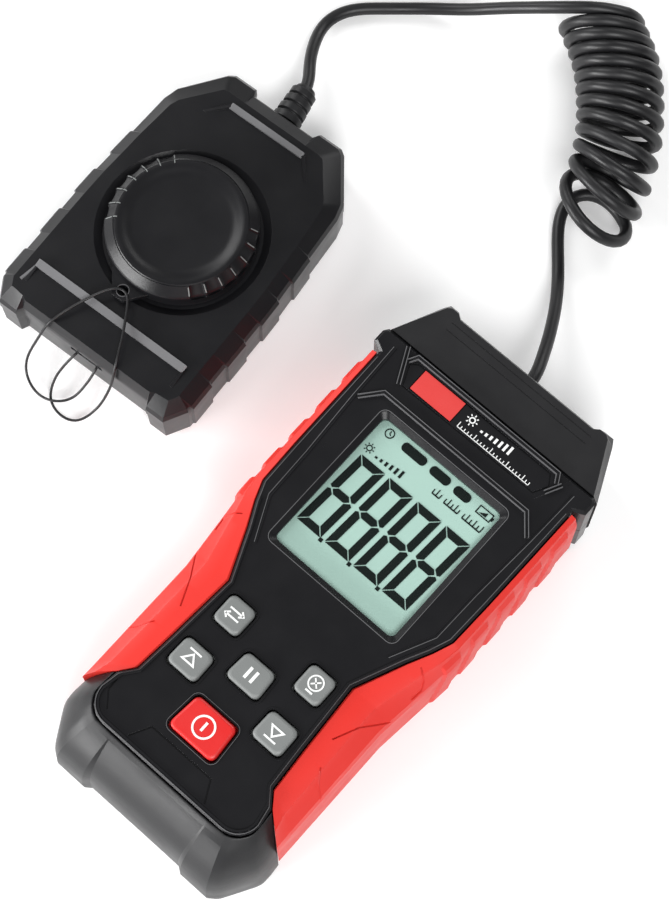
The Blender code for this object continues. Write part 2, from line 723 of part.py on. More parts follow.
def head_side_x(y):
    """Half width of the head, which narrows a little towards its cord end."""
    return HEAD_X - max(0.0, y - 30.0) * 0.06


def head_half():
    """Right half of the head in plan, ribs included, from its cord end to its heel."""
    points = [(0.0, HEAD_NOTCH_Y), (10.4, HEAD_NOTCH_Y), (11.4, HEAD_TOP_Y), (18.6, HEAD_TOP_Y),
              (20.4, HEAD_TOP_Y - 1.2), (29.4, 66.6), (30.6, 62.0)]
    for k in range(RIB_COUNT):
        top = HEAD_RIB_TOP_Y - RIB_PITCH * k
        for y, raised in ((top + RIB_RAMP, False), (top, True), (top - RIB_LENGTH, True),
                          (top - RIB_LENGTH - RIB_RAMP, False)):
            points.append((head_side_x(y) - (0.0 if raised else RIB_HEIGHT), y))
    points += [(HEAD_X - RIB_HEIGHT, -6.6), (28.6, HEAD_LOW_Y), (22.6, HEAD_LOW_Y), (21.6, HEAD_HEEL_Y),
               (0.0, HEAD_HEEL_Y)]
    return points


def face_half():
    """Right half of the head's flat face, point for point with head_half."""
    outer = head_half()
    top = [(0.0, 73.0), (10.0, 73.0), (11.0, 73.0), (15.6, 73.0), (17.4, 72.6), (25.4, 62.6), (26.4, 60.0)]
    side = [(HEAD_FACE_X - max(0.0, y - 30.0) * 0.06, y) for _, y in outer[7:-5]]
    heel = [(HEAD_FACE_X + 0.2, -5.4), (27.2, -8.2), (23.0, -8.6), (21.6, -9.4), (0.0, -9.4)]
    return top + side + heel


def make_head_shells(head):
    outline = mirrored(head_half())
    face = mirrored(face_half())
    shoulder = [tuple(Vector(a).lerp(Vector(b), 0.16)) for a, b in zip(outline, face)]
    front = loft("sensor_front_shell", [
        at_height(outline, HEAD_SPLIT_Z), at_height(outline, HEAD_CHAMFER_Z - 1.6),
        at_height(shoulder, HEAD_CHAMFER_Z), at_height(face, HEAD_FACE_Z)], "shell_black", head)
    plain = mirrored([(0.0, 75.0), (18.0, 75.0), (27.6, 62.0), (29.0, 40.0), (29.4, -4.0), (26.0, -8.4),
                      (0.0, -8.4)])
    cut_prism(front, plain, HEAD_SPLIT_Z - 1.0, HEAD_CHAMFER_Z - 1.4)
    middle = (0.0, SENSOR_Y)
    well = [(0.0, HEAD_FACE_Z - WELL_DEPTH), (CAP_RADIUS + 0.9, HEAD_FACE_Z - WELL_DEPTH),
            (WELL_RADIUS, HEAD_FACE_Z + 0.02), (WELL_RADIUS, HEAD_FACE_Z + 2.0), (0.0, HEAD_FACE_Z + 2.0)]
    boolean(front, lambda bm: add_turned(bm, well, middle, 48))
    cut_prism(front, circle(middle, COLLAR_RADIUS - 2.6, 40), HEAD_SPLIT_Z - 1.0, HEAD_FACE_Z + 1.0)
    for line in head_ridges():
        boolean(front, lambda bm: add_head_ridge(bm, line), "UNION")
    add_lanyard_slot(front)
    boolean(front, add_relief_hole)

    rear = loft("sensor_rear_shell", [
        at_height(inset(outline, 1.6), 0.0), at_height(inset(outline, 0.3), 2.2),
        at_height(inset(outline, 0.2), HEAD_SPLIT_Z - GAP)], "shell_black", head)
    cut_prism(rear, plain, 2.4, HEAD_SPLIT_Z + 1.0)
    for centre in HEAD_SCREWS:
        cut_prism(rear, circle(centre, 2.6, 16), -1.0, 4.0)
    boolean(rear, add_relief_hole)


def add_relief_hole(bm):
    """The round hole in the head's end wall, half in each shell, that holds the strain relief."""
    add_rod(bm, (0, HEAD_NOTCH_Y - 6.0, RELIEF_Z), (0, HEAD_NOTCH_Y + 4.0, RELIEF_Z), 4.0, 20)


def head_ridges():
    """Straight bars on the head's face: one above the sensor, one below, with their slanted tails."""
    upper = [(-17.6, 64.2), (-12.8, 69.8), (12.8, 69.8), (17.6, 64.2)]
    lower = [(-25.2, -4.8), (-25.2, 1.2), (25.2, 1.2), (25.2, -4.8)]
    return [upper, lower]


def add_head_ridge(bm, line):
    """A raised bar along a line of four points, whose two tails run down into the face."""
    half_width = 0.95
    rings = []
    for i, point in enumerate(line):
        middle = Vector(point)
        side = -1 if middle.x < 0 else 1
        is_tail = i in (0, len(line) - 1)
        across = Vector((side * half_width, 0.0)) if is_tail else Vector((side * 0.55, half_width))
        crest = HEAD_FACE_Z + (0.08 if is_tail else 0.7)
        base = HEAD_FACE_Z - 0.8
        rings.append([
            (*(middle - across), base), (*(middle + across), base),
            (*(middle + across / 2), crest), (*(middle - across / 2), crest),
        ])
    add_loft(bm, rings)


def add_lanyard_slot(shell):
    """A pocket in the head's end, open outwards, which the lanyard pin crosses."""
    slot = box_outline((0.3, HEAD_HEEL_Y + 0.6), 5.4, 2.4)
    cut_prism(shell, slot, HEAD_SPLIT_Z - 1.0, HEAD_SPLIT_Z + 2.6)


def make_sensor(head):
    middle = (0.0, SENSOR_Y)
    floor = HEAD_FACE_Z - WELL_DEPTH
    turned("sensor_collar", [
        (COLLAR_RADIUS - 3.0, HEAD_CHAMFER_Z - 2.6),
        (COLLAR_RADIUS - 3.0, floor + 4.2), (COLLAR_RADIUS - 0.4, floor + 4.2), (COLLAR_RADIUS, floor + 3.8),
        (COLLAR_RADIUS, floor + GAP), (COLLAR_RADIUS - 2.9 + GAP, floor + GAP),
        (COLLAR_RADIUS - 2.9 + GAP, HEAD_CHAMFER_Z - 2.6)], middle, "shell_black", head, 40)
    dome = [(0.0, floor - 1.0), (DOME_RADIUS, floor - 1.0), (DOME_RADIUS, floor + 2.0)]
    dome += [(DOME_RADIUS * math.cos(a), floor + 2.0 + 3.4 * math.sin(a)) for a in
             (math.radians(18) * k for k in range(1, 5))]
    dome += [(0.0, floor + 5.4)]
    turned("diffuser_dome", dome, middle, "white_plastic", head, 32)
    disc = [(0.0, 15.4), (5.0, 15.4), (5.0, 16.6), (0.0, 16.6)]
    turned("light_filter", disc, middle, "filter_green", head, 20)
    prism("photodiode", box_outline(middle, 4.0, 4.0), 13.2, 15.0, "component_black", head)
    board = mirrored([(0.0, 54.0), (14.0, 54.0), (20.0, 46.0), (20.0, 18.0), (14.0, 10.0), (0.0, 10.0)])
    prism("sensor_board", board, 11.0, 12.6, "board_green", head)
    for k, centre in enumerate(HEAD_SCREWS):
        make_screw("sensor_screw_%d" % (k + 1), centre, 0.6, 14.0, head)


def make_lanyard_pin(head):
    bm = bmesh.new()
    y, z = HEAD_HEEL_Y + 1.3, HEAD_SPLIT_Z + 1.2
    add_rod(bm, (-4.7, y, z), (5.3, y, z), 0.8, 10)
    finish("lanyard_pin", bm, "steel", head, smooth=True)


def make_lens_cap(head):
    """A cup over the collar, with a lanyard tab at its foot."""
    floor = HEAD_FACE_Z - WELL_DEPTH + GAP
    x, y = 0.0, SENSOR_Y
    outer = [(CAP_RADIUS - 0.6, floor), (CAP_RADIUS, floor + 0.5), (CAP_RADIUS, 24.0), (18.4, CAP_TOP_Z),
             (16.2, CAP_TOP_Z), (15.4, CAP_TOP_Z - 0.7), (0.0, CAP_TOP_Z - 0.9)]
    inner = [(0.0, 24.9), (17.0, 24.9), (COLLAR_RADIUS + GAP, 23.4), (COLLAR_RADIUS + GAP, floor)]
    cap = turned("lens_cap", inner + outer, (x, y), "shell_black", head, 48)
    tab_y = y - CAP_RADIUS - 2.6
    tab = [(-8.0, y - CAP_RADIUS + 2.2), (-2.9, tab_y - 1.0), (-1.6, tab_y - 2.6), (1.6, tab_y - 2.6),
           (2.9, tab_y - 1.0), (8.0, y - CAP_RADIUS + 2.2)]
    tab = [(px - 1.6, py) for px, py in tab]
    boolean(cap, lambda bm: add_prism(bm, tab, 20.6, 22.2), "UNION")
    cut_prism(cap, circle((-1.6, tab_y), 1.5, 12), 20.0, 23.0)
    set_origin(cap, (x, y, floor))


def make_strain_relief():
    """A ribbed sleeve from the head's end wall along the cord."""
    start = Vector(head_point((0.0, HEAD_NOTCH_Y - 5.6, RELIEF_Z)))
    stop = Vector(RELIEF_TIP)
    along = (stop - start).normalized()
    side = along.cross(Vector((0, 0, 1))).normalized()
    up = side.cross(along)
    length = (stop - start).length
    stations = [(0.0, 4.6), (1.6, 4.6), (1.7, 3.0), (6.4, 3.0)]
    pitch = (length - 7.2) / RELIEF_RIBS
    for k in range(RELIEF_RIBS):
        foot = 6.6 + pitch * k
        wide = 4.5 - 0.2 * k
        stations += [(foot, wide), (foot + 0.7 * pitch, wide), (foot + 0.76 * pitch, wide - 0.8),
                     (foot + 0.96 * pitch, wide - 0.8)]
    stations += [(length, 2.8)]
    rings = []
    for distance, radius in stations:
        centre = start + along * distance
        rings.append([centre + (side * math.cos(a) + up * math.sin(a)) * radius
                      for a in (2 * math.pi * k / 16 for k in range(16))])
    loft("sensor_strain_relief", rings, "rubber_black", smooth=True)


def head_point(point):
    """A point of the head's frame in the row frame."""
    turned_point = Matrix.Rotation(HEAD_TURN, 3, "Z") @ Vector(point)
    return turned_point + Vector((*HEAD_PLACE, 0.0))


# ---------------------------------------------------------------- cord and lanyard

def make_cords():
    tube("cord_meter_run", METER_RUN, CORD_RADIUS, 4 * CORD_RADIUS, "cord_black")
    tube("cord_coil", COIL_AXIS, COIL_RADIUS, 9.0, "cord_black")
    tube("cord_head_run", HEAD_RUN, CORD_RADIUS, 4 * CORD_RADIUS, "cord_black")


def make_lanyard(head):
    tube("lanyard", LANYARD, STRING_RADIUS, 6 * STRING_RADIUS, "cord_black", head)


def main():
    clear_scene()
    head = bpy.data.objects.new("sensor_head_frame", None)
    bpy.context.collection.objects.link(head)
    head.location = (HEAD_PLACE[0] * MM, HEAD_PLACE[1] * MM, 0.0)
    head.rotation_euler = (0.0, 0.0, HEAD_TURN)

    make_front_shell()
    make_rear_shell()
    make_top_cap()
    make_grips()
    make_bottom_bumper()
    prism("badge_plate", badge_outline(), PLATE_Z - GAP, PLATE_Z + 0.1, "badge_red")
    make_display()
    make_board()
    make_keypad()
    make_batteries()
    make_battery_door()
    make_case_screws()
    make_cord_entry()

    make_head_shells(head)
    make_sensor(head)
    make_lanyard_pin(head)
    make_lens_cap(head)
    make_strain_relief()
    make_cords()
    make_lanyard(head)


main()
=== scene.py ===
"""Looks of the handheld light meter: housings, grips, keys, display, curly cord, lanyard and studio.

Frame: origin at the back of the display unit, +X to its right, +Y to its cord end, +Z up.
Sizes are in millimetres and MM turns them into metres. The camera, the lights and the route points of the
cord and the lanyard are in metres.
"""

import json
import math

import bmesh
import bpy
from mathutils import Matrix, Vector
from mathutils.geometry import interpolate_bezier


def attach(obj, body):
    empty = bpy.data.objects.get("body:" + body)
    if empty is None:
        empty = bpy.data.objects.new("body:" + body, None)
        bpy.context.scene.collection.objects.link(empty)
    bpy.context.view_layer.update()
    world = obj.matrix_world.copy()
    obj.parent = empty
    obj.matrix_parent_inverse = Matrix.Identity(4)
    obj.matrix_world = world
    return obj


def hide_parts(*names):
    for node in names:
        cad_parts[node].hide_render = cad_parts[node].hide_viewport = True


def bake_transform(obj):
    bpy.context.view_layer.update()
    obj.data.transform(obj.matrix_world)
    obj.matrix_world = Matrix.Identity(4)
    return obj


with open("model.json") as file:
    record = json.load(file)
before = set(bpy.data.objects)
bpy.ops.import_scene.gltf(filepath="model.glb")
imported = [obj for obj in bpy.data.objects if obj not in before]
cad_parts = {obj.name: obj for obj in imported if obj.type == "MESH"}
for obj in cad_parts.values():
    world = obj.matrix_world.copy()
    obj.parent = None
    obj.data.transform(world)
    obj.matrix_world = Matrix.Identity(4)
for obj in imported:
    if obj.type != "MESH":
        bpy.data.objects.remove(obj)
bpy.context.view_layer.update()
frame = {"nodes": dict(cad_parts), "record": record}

MM = 0.001
NODES = frame["nodes"]
BODY_OF = {node: body for body, nodes in frame["record"]["behaviour"]["bodies"].items() for node in nodes}

# ---------------------------------------------------------------- driving dimensions

CAMERA_PLACE = (0.095632, -0.109833, 0.6241)
CAMERA_AZIMUTH = 41.512
CAMERA_ELEVATION = 73.061
CAMERA_LENS = 94.9
CAMERA_SENSOR = 36.0

# Display unit. PRINT values are the low and high z of a printed layer. CASE_EDGE is the right edge of the
# front plate, from high to low y.
PLATE_Z = 32.0
STRIP_ROOT_Z = PLATE_Z - 0.4
KEY_TOP_Z = 33.0
PANEL_TOP_Z = 29.3
PLATE_PRINT = (PLATE_Z + 0.01, PLATE_Z + 0.07)
KEY_PRINT = (KEY_TOP_Z - 0.1, KEY_TOP_Z + 0.06)
LCD_PRINT = (PANEL_TOP_Z + 0.04, PANEL_TOP_Z + 0.1)
LCD_SHIFT = 0.3
CASE_EDGE = [
    (33.2, 53.6), (32.8, 20.0), (32.4, 7.0), (30.2, 1.4), (27.0, -5.0), (21.0, -18.8), (22.2, -39.0),
    (23.1, -51.2), (26.4, -55.4), (27.1, -60.5),
]
FOOT_CENTRE = (20.1, -60.5)
FOOT_LIP_RADIUS = 5.8
FOOT_LINE_RADIUS = 6.5
FOOT_BUMPER_RADIUS = 7.3

# Grips. The crease and the edge are a share of the grip's width and a height; the pads stand on the flank.
GRIP_TOP_Y = 53.0
GRIP_BOTTOM_Y = -54.9
GRIP_SECTIONS = 300
GRIP_OUTER_X = 36.8
GRIP_WAIST_Y = 2.0
GRIP_CLOSING = 2.5
GRIP_CLOSING_LENGTH = 24.0
GRIP_INSET = 0.35
GRIP_TOP_Z = 31.2
GRIP_CREASE = (0.58, 30.5)
GRIP_EDGE = (0.95, 26.0)
GRIP_TOE_Y = -38.0
GRIP_TOE_DROP = 6.6
GRIP_TOE_LENGTH = 16.9
GRIP_SHARP_ANGLE = 14.0
GROOVE_SIZE = 0.45
GRIP_GROOVES = [
    [(30.6, -3.2), (33.2, -5.0), (34.2, -7.0), (33.8, -10.4)],
    [(26.0, -32.0), (29.2, -24.8), (33.8, -18.0)],
    [(28.4, -39.2), (30.8, -42.6), (33.8, -45.0)],
]
PAD_TOPS = [47.0, 36.4, 25.8, 15.2, 4.6]
PAD_LENGTH = 6.6
PAD_RISE = 0.7
PAD_LOW_Z = 5.0
PAD_MIDDLE_Z = 16.0
PAD_HIGH_Z = 29.0
PAD_SLANT = 0.2
PAD_END_LENGTH = 0.45
PAD_FADE_HEIGHT = 1.5

# Bottom bumper: the outer line of its right half, and the slope as shares of its depth and heights.
BUMPER_OUTER = [(34.4, -62.5), (34.7, -66.2), (34.5, -69.4), (31.6, -74.4), (28.7, -79.4), (26.2, -81.2)]
BUMPER_SLOPE = [
    (0.0, 30.9), (0.02, 31.25), (0.06, 31.0), (0.3, 28.9), (0.6, 25.4), (0.82, 21.4), (0.95, 16.0),
    (1.0, 8.0), (0.97, 3.0), (0.86, 0.6),
]

# Digits of the display.
DIGIT_LEFTS = (-19.4, -9.7, 0.1, 9.9)
DIGIT_LOW_Y = 5.2
DIGIT_WIDTH = 8.3
DIGIT_HEIGHT = 24.2
DIGIT_SLANT = 1.3
SEGMENT_THICK = 2.2
SEGMENT_GAP = 0.2
POINT_PLACES = (-10.7, -0.9, 8.9)

# Keys: centres, and the half widths at the far and near edges and the half length of each well.
KEYS = {
    "unit_button": (-13.7, -24.8), "light_button": (13.7, -24.8), "hold_button": (0.0, -33.6),
    "max_button": (-14.4, -40.6), "min_button": (14.4, -40.6), "power_button": (0.0, -51.4),
}
KEY_WELLS = {
    "unit_button": (4.1, 4.1, 4.2), "light_button": (4.1, 4.1, 4.2), "hold_button": (4.8, 5.4, 4.2),
    "max_button": (4.6, 4.8, 4.2), "min_button": (4.6, 4.8, 4.2), "power_button": (6.7, 7.6, 5.3),
}
WELL_MARGIN = 0.95
WELL_CORNER = 2.2

# Sensor head, in its own frame: origin by its heel, +Y towards its cord. Each bar on its face has a left,
# right, low y, high y and top.
HEAD_PLACE = (-96.5, 15.0)
HEAD_TURN = math.radians(4.2)
HEAD_FACE_Z = 20.0
HEAD_BARS = [(-12.6, 12.6, 69.0, 70.7, HEAD_FACE_Z + 1.15), (-25.8, 25.4, 0.0, 2.2, HEAD_FACE_Z + 1.25)]
BAR_FALL = 0.25

# Lens cap. Its rim has FLUTES hollows round each of two directions, given in degrees. They sink into the
# slope, by FLUTE_SLANT of their depth inwards and as much downwards.
SENSOR_Y = 32.3
CAP_RADIUS = 21.3
CAP_FLOOR_Z = 18.9
CAP_TOP_Z = 27.0
CAP_SEGMENTS = 720
FLUTES = 6
FLUTE_PITCH = 13.0
FLUTE_SPREAD = FLUTES * FLUTE_PITCH / 2
FLUTE_MIDDLES = (173.0, 353.0)
FLUTE_HALF_WIDTH = 6.0
FLUTE_DEPTH = 0.8
FLUTE_SLANT = 0.7
# Track of the painted highlight lines on the cap's ribs: radius and height of each point.
RIB_HIGHLIGHT_TRACK = [(17.5, 27.0), (18.2, 26.95), (18.75, 26.6), (20.8, 24.55)]
TAB_EDGE_Y = SENSOR_Y - CAP_RADIUS
TAB_HOLE = (-1.6, TAB_EDGE_Y - 2.6)

# Cord and lanyard. The lanyard's points are in the sensor head's frame.
CORD_RADIUS = 0.0018
COIL_RADIUS = 0.0109
COIL_TURNS = 12.5
POINTS_PER_TURN = 28
CORD_SPACING = 0.0018
METER_RUN = [
    (0.0, 0.077, 0.016), (0.0, 0.0786, 0.016), (0.0, 0.081, 0.016), (-0.002, 0.085, 0.014),
    (-0.0045, 0.091, 0.0115), (-0.008, 0.098, 0.008), (-0.012, 0.105, 0.005), (-0.017, 0.112, 0.0025),
    (-0.023, 0.119, 0.002), (-0.027, 0.124, 0.002), (-0.0298, 0.1315, 0.002), (-0.026, 0.1375, 0.002),
]
# Each coil station gives the turn, the coil's centre in plan, and in degrees the heading of its level
# diameter and how far the turn leans over.
COIL_STATIONS = [
    (0.0, -0.056, 0.1755, 38.0, 8.0), (4.0, -0.0425, 0.167, 38.0, 12.0), (8.0, -0.0305, 0.1535, 24.0, 14.0),
    (10.5, -0.0235, 0.141, 8.0, 28.0), (12.5, -0.020, 0.1295, -14.0, 58.0),
]
HEAD_RUN = [
    (-0.063, 0.1685, 0.022), (-0.070, 0.165, 0.018), (-0.079, 0.161, 0.012), (-0.088, 0.1565, 0.006),
    (-0.098, 0.1505, 0.0025), (-0.108, 0.142, 0.002), (-0.115, 0.1355, 0.002), (-0.118, 0.128, 0.002),
    (-0.1155, 0.120, 0.0035), (-0.110, 0.1115, 0.0075), (-0.106, 0.1075, 0.0085), (-0.1053, 0.104, 0.009),
]
STRING_RADIUS = 0.00038
LANYARD = [
    (-0.003, -0.0112, 0.013), (-0.0045, -0.015, 0.0095), (-0.006, -0.019, 0.003), (-0.004, -0.0235, 0.001),
    (0.001, -0.0255, 0.001), (0.006, -0.024, 0.001), (0.009, -0.0185, 0.0045), (0.0105, -0.0135, 0.013),
    (0.010, -0.0095, 0.0205), (0.0055, 0.0, 0.022), (0.001, 0.0075, 0.023), (-0.0015, 0.0085, 0.023),
    (-0.004, 0.007, 0.023), (-0.008, 0.0005, 0.022), (-0.012, -0.0095, 0.0205), (-0.014, -0.014, 0.0135),
    (-0.0155, -0.019, 0.0045), (-0.013, -0.0225, 0.001), (-0.0075, -0.0245, 0.001), (-0.002, -0.0235, 0.0025),
    (0.0015, -0.020, 0.0035), (0.0035, -0.015, 0.009), (0.004, -0.0112, 0.013),
]

# Studio: name, place, size and power of each light, and what they all point at.
LIGHTS = [
    ("key", (-0.62, -1.1, 0.32), (1.1, 0.3), 25.0),
    ("top", (0.7, -0.5, 1.0), (0.7, 0.7), 15.0),
    ("left", (-1.1, 0.2, 0.8), (0.5, 0.9), 7.0),
    ("back", (-0.1, 1.2, 0.8), (1.1, 0.4), 6.0),
]
LIGHT_TARGET = (-0.04, 0.05, 0.0)
SKY_STRENGTH = 0.2
FLOOR_HALF_SIZE = 6000.0


# ---------------------------------------------------------------- materials

BLOTCH_SCALE = 35.0
SMEAR_SCALE = 120.0
NOISE_LOW = 0.3
NOISE_HIGH = 0.7

# Every finish, under the name of its material slot or of the print or painted highlight it makes.
FINISHES = {
    "shell_black": dict(colour=(0.0078, 0.0078, 0.009), roughness=0.32, grain=1500.0, depth=0.000015,
                        mottle=0.05, spread=0.04, specular=0.3),
    "rubber_black": dict(colour=(0.0145, 0.0145, 0.0156), roughness=0.42, grain=1300.0, depth=0.00003,
                         mottle=0.08, spread=0.05, specular=0.32),
    # shell_painted_highlight: painted highlight, a lighter grey laid on ridges, lips and outlines where edges
    # catch the light.
    "shell_painted_highlight": dict(colour=(0.1, 0.1, 0.104), roughness=0.42, grain=1500.0, depth=0.00001, mottle=0.2),
    # bar_painted_highlight: painted highlight, the head's bars in a lighter grey for the light they catch.
    "bar_painted_highlight": dict(colour=(0.12, 0.12, 0.125), roughness=0.5, grain=900.0, depth=0.00003, mottle=0.25),
    "rubber_red": dict(colour=(0.66, 0.029, 0.021), roughness=0.45, grain=1500.0, depth=0.00002,
                       mottle=0.04, spread=0.05, specular=0.3),
    "key_grey": dict(colour=(0.175, 0.184, 0.181), roughness=0.5, grain=1600.0, depth=0.00003,
                     mottle=0.06),
    "key_red": dict(colour=(0.6, 0.016, 0.015), roughness=0.42, grain=1600.0, depth=0.00003, mottle=0.06),
    "badge_red": dict(colour=(0.6, 0.046, 0.042), roughness=0.4, grain=1200.0, depth=0.00001,
                      mottle=0.04),
    "clear_plastic": dict(colour=(0.03, 0.035, 0.033), roughness=0.08, grain=300.0, depth=0.000002,
                          mottle=0.02, spread=0.03, alpha=0.06),
    "lcd_glass": dict(colour=(0.42, 0.62, 0.545), roughness=0.45, grain=2600.0, depth=0.000004,
                      mottle=0.025, specular=0.2),
    "white_plastic": dict(colour=(0.8, 0.8, 0.77), roughness=0.5, grain=900.0, depth=0.00002,
                          mottle=0.04),
    "silicone_grey": dict(colour=(0.3, 0.3, 0.31), roughness=0.6, grain=900.0, depth=0.00002,
                          mottle=0.05),
    "board_green": dict(colour=(0.02, 0.14, 0.06), roughness=0.4, grain=500.0, depth=0.00002, mottle=0.3),
    "component_black": dict(colour=(0.02, 0.02, 0.02), roughness=0.45, grain=900.0, depth=0.00002),
    "steel": dict(colour=(0.6, 0.6, 0.61), roughness=0.28, grain=2500.0, depth=0.00001, mottle=0.08,
                  spread=0.1, metallic=1.0),
    "cell_wrap": dict(colour=(0.05, 0.06, 0.09), roughness=0.3, grain=400.0, depth=0.000005, mottle=0.1,
                      metallic=0.3),
    "cord_black": dict(colour=(0.0085, 0.0085, 0.0095), roughness=0.42, grain=2200.0, depth=0.00002,
                       specular=0.4),
    "filter_green": dict(colour=(0.1, 0.34, 0.14), roughness=0.1, grain=300.0, depth=0.000003,
                         mottle=0.05, spread=0.03, alpha=0.6),
    "print_white": dict(colour=(0.78, 0.79, 0.78), roughness=0.5, grain=2000.0, depth=0.00001,
                        mottle=0.03),
    "print_dark": dict(colour=(0.004, 0.008, 0.007), roughness=0.6, grain=2000.0, depth=0.000004,
                       mottle=0.1, specular=0.1),
    "floor": dict(colour=(0.92, 0.92, 0.92), roughness=0.8, grain=400.0, depth=0.00002, mottle=0.01,
                  spread=0.04, specular=0.1, glow=0.14),
}


def node_material(name):
    made = bpy.data.materials.new(name)
    made.use_nodes = True
    return made, made.node_tree.nodes, made.node_tree.links, made.node_tree.nodes["Principled BSDF"]


def noise(nodes, links, scale, detail):
    place = nodes.new("ShaderNodeTexCoord")
    made = nodes.new("ShaderNodeTexNoise")
    made.inputs["Scale"].default_value = scale
    made.inputs["Detail"].default_value = detail
    links.new(place.outputs["Object"], made.inputs["Vector"])
    return made


def surface(name, colour, roughness, grain, depth, mottle=0.12, spread=0.08, metallic=0.0, specular=0.5,
            alpha=1.0, glow=0.0):
    """A moulded or metal surface: mottled colour, uneven gloss and a fine grain in relief."""
    made, nodes, links, shader = node_material(name)
    shader.inputs["Metallic"].default_value = metallic
    shader.inputs["Specular IOR Level"].default_value = specular
    shader.inputs["Alpha"].default_value = alpha
    shader.inputs["Emission Color"].default_value = (1.0, 1.0, 1.0, 1.0)
    shader.inputs["Emission Strength"].default_value = glow

    blotches = noise(nodes, links, BLOTCH_SCALE, 4.0)
    tint = nodes.new("ShaderNodeValToRGB")
    tint.color_ramp.elements[0].position = NOISE_LOW
    tint.color_ramp.elements[1].position = NOISE_HIGH
    tint.color_ramp.elements[0].color = (*(c * (1.0 - mottle) for c in colour), 1.0)
    tint.color_ramp.elements[1].color = (*(min(1.0, c * (1.0 + mottle)) for c in colour), 1.0)
    links.new(blotches.outputs["Fac"], tint.inputs["Fac"])
    links.new(tint.outputs["Color"], shader.inputs["Base Color"])

    smears = noise(nodes, links, SMEAR_SCALE, 5.0)
    gloss = nodes.new("ShaderNodeMapRange")
    gloss.inputs["From Min"].default_value = NOISE_LOW
    gloss.inputs["From Max"].default_value = NOISE_HIGH
    gloss.inputs["To Min"].default_value = max(0.02, roughness - spread)
    gloss.inputs["To Max"].default_value = min(1.0, roughness + spread)
    links.new(smears.outputs["Fac"], gloss.inputs["Value"])
    links.new(gloss.outputs["Result"], shader.inputs["Roughness"])

    fine = noise(nodes, links, grain, 2.0)
    bump = nodes.new("ShaderNodeBump")
    bump.inputs["Strength"].default_value = 0.6
    bump.inputs["Distance"].default_value = depth
    links.new(fine.outputs["Fac"], bump.inputs["Height"])
    links.new(bump.outputs["Normal"], shader.inputs["Normal"])
    return made


def make_materials():
    """Every finish as a material, by name."""
    return {name: surface(name, **look) for name, look in FINISHES.items()}


# ---------------------------------------------------------------- mesh helpers, in millimetres

WELD_DISTANCE = 0.000002
FLAT_ANGLE = math.radians(0.6)
LEAST_SHARP_ANGLE = 34.0


def add_object(name, data):
    made = bpy.data.objects.new(name, data)
    bpy.context.collection.objects.link(made)
    return made


def finished_mesh(name, bm, material, unit=MM):
    """The bmesh as a mesh in metres with one material. The bmesh is freed."""
    bmesh.ops.recalc_face_normals(bm, faces=bm.faces)
    bmesh.ops.scale(bm, vec=(unit, unit, unit), verts=bm.verts)
    mesh = bpy.data.meshes.new(name)
    bm.to_mesh(mesh)
    bm.free()
    mesh.materials.append(material)
    return mesh


def place_mesh(name, bm, finish, body, smooth=None, turn_to_head=False):
    """A bmesh in millimetres as a piece in metres that rides on a body."""
    if turn_to_head:
        bmesh.ops.transform(bm, matrix=head_matrix(), verts=bm.verts)
    mesh = finished_mesh(name, bm, MATERIALS[finish])
    if smooth:
        mesh.shade_smooth()
        mesh.set_sharp_from_angle(angle=math.radians(smooth))
    piece = add_object(name, mesh)
    if body:
        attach(piece, body)
    return piece


def head_matrix(unit=1.0):
    """From the sensor head's own frame to the shared one, in millimetres (or in metres, given MM)."""
    x, y = HEAD_PLACE
    return Matrix.Translation((x * unit, y * unit, 0.0)) @ Matrix.Rotation(HEAD_TURN, 4, "Z")


def bridge(bm, near, far):
    """Four-sided faces between two loops with equal numbers of points."""
    count = len(near)
    for i in range(count):
        j = (i + 1) % count
        bm.faces.new((near[i], near[j], far[j], far[i]))


def add_loft(bm, rings):
    """A solid skinned over a list of rings with equal numbers of points."""
    loops = [[bm.verts.new(point) for point in ring] for ring in rings]
    for low, high in zip(loops, loops[1:]):
        bridge(bm, low, high)
    bm.faces.new(loops[0])
    bm.faces.new(loops[-1])


def at_height(outline, z):
    return [(x, y, z) for x, y in outline]


def add_prism(bm, outline, low, high):
    add_loft(bm, [at_height(outline, low), at_height(outline, high)])


def circle(centre, radius, segments, start=0.0, stop=360.0):
    """Points round a circle, or along an arc of it in degrees."""
    x, y = centre
    whole = stop - start >= 360.0
    steps = segments if whole else segments - 1
    angles = [math.radians(start + (stop - start) * k / steps) for k in range(segments)]
    return [(x + radius * math.cos(a), y + radius * math.sin(a)) for a in angles]


def box_outline(centre, half_x, half_y):
    x, y = centre
    left, right = x - half_x, x + half_x
    low, high = y - half_y, y + half_y
    return [(left, low), (right, low), (right, high), (left, high)]


def rounded(outline, radius, steps=5):
    """The outline with each corner turned into an arc."""
    out = []
    count = len(outline)
    for i, corner in enumerate(outline):
        point = Vector(corner)
        before = (Vector(outline[i - 1]) - point).normalized()
        after = (Vector(outline[(i + 1) % count]) - point).normalized()
        half_angle = before.angle(after) / 2
        reach = radius / math.tan(half_angle)
        middle = point + (before + after).normalized() * radius / math.sin(half_angle)
        start = point + before * reach - middle
        stop = point + after * reach - middle
        for k in range(steps + 1):
            out.append(tuple(middle + start.slerp(stop, k / steps).normalized() * radius))
    return out


def stroke(points, width, closed=False):
    """Left and right edge points of a flat line of even width, mitred at its bends."""
    lefts, rights = [], []
    count = len(points)
    for i, point in enumerate(points):
        here = Vector(point)
        before = Vector(points[i - 1]) if closed or i > 0 else None
        after = Vector(points[(i + 1) % count]) if closed or i < count - 1 else None
        into = (here - before).normalized() if before is not None else (after - here).normalized()
        away = (after - here).normalized() if after is not None else into
        along = (into + away).normalized()
        across = Vector((-along.y, along.x)) * (width / 2) / max(0.4, along.dot(away))
        lefts.append(tuple(here + across))
        rights.append(tuple(here - across))
    return lefts, rights


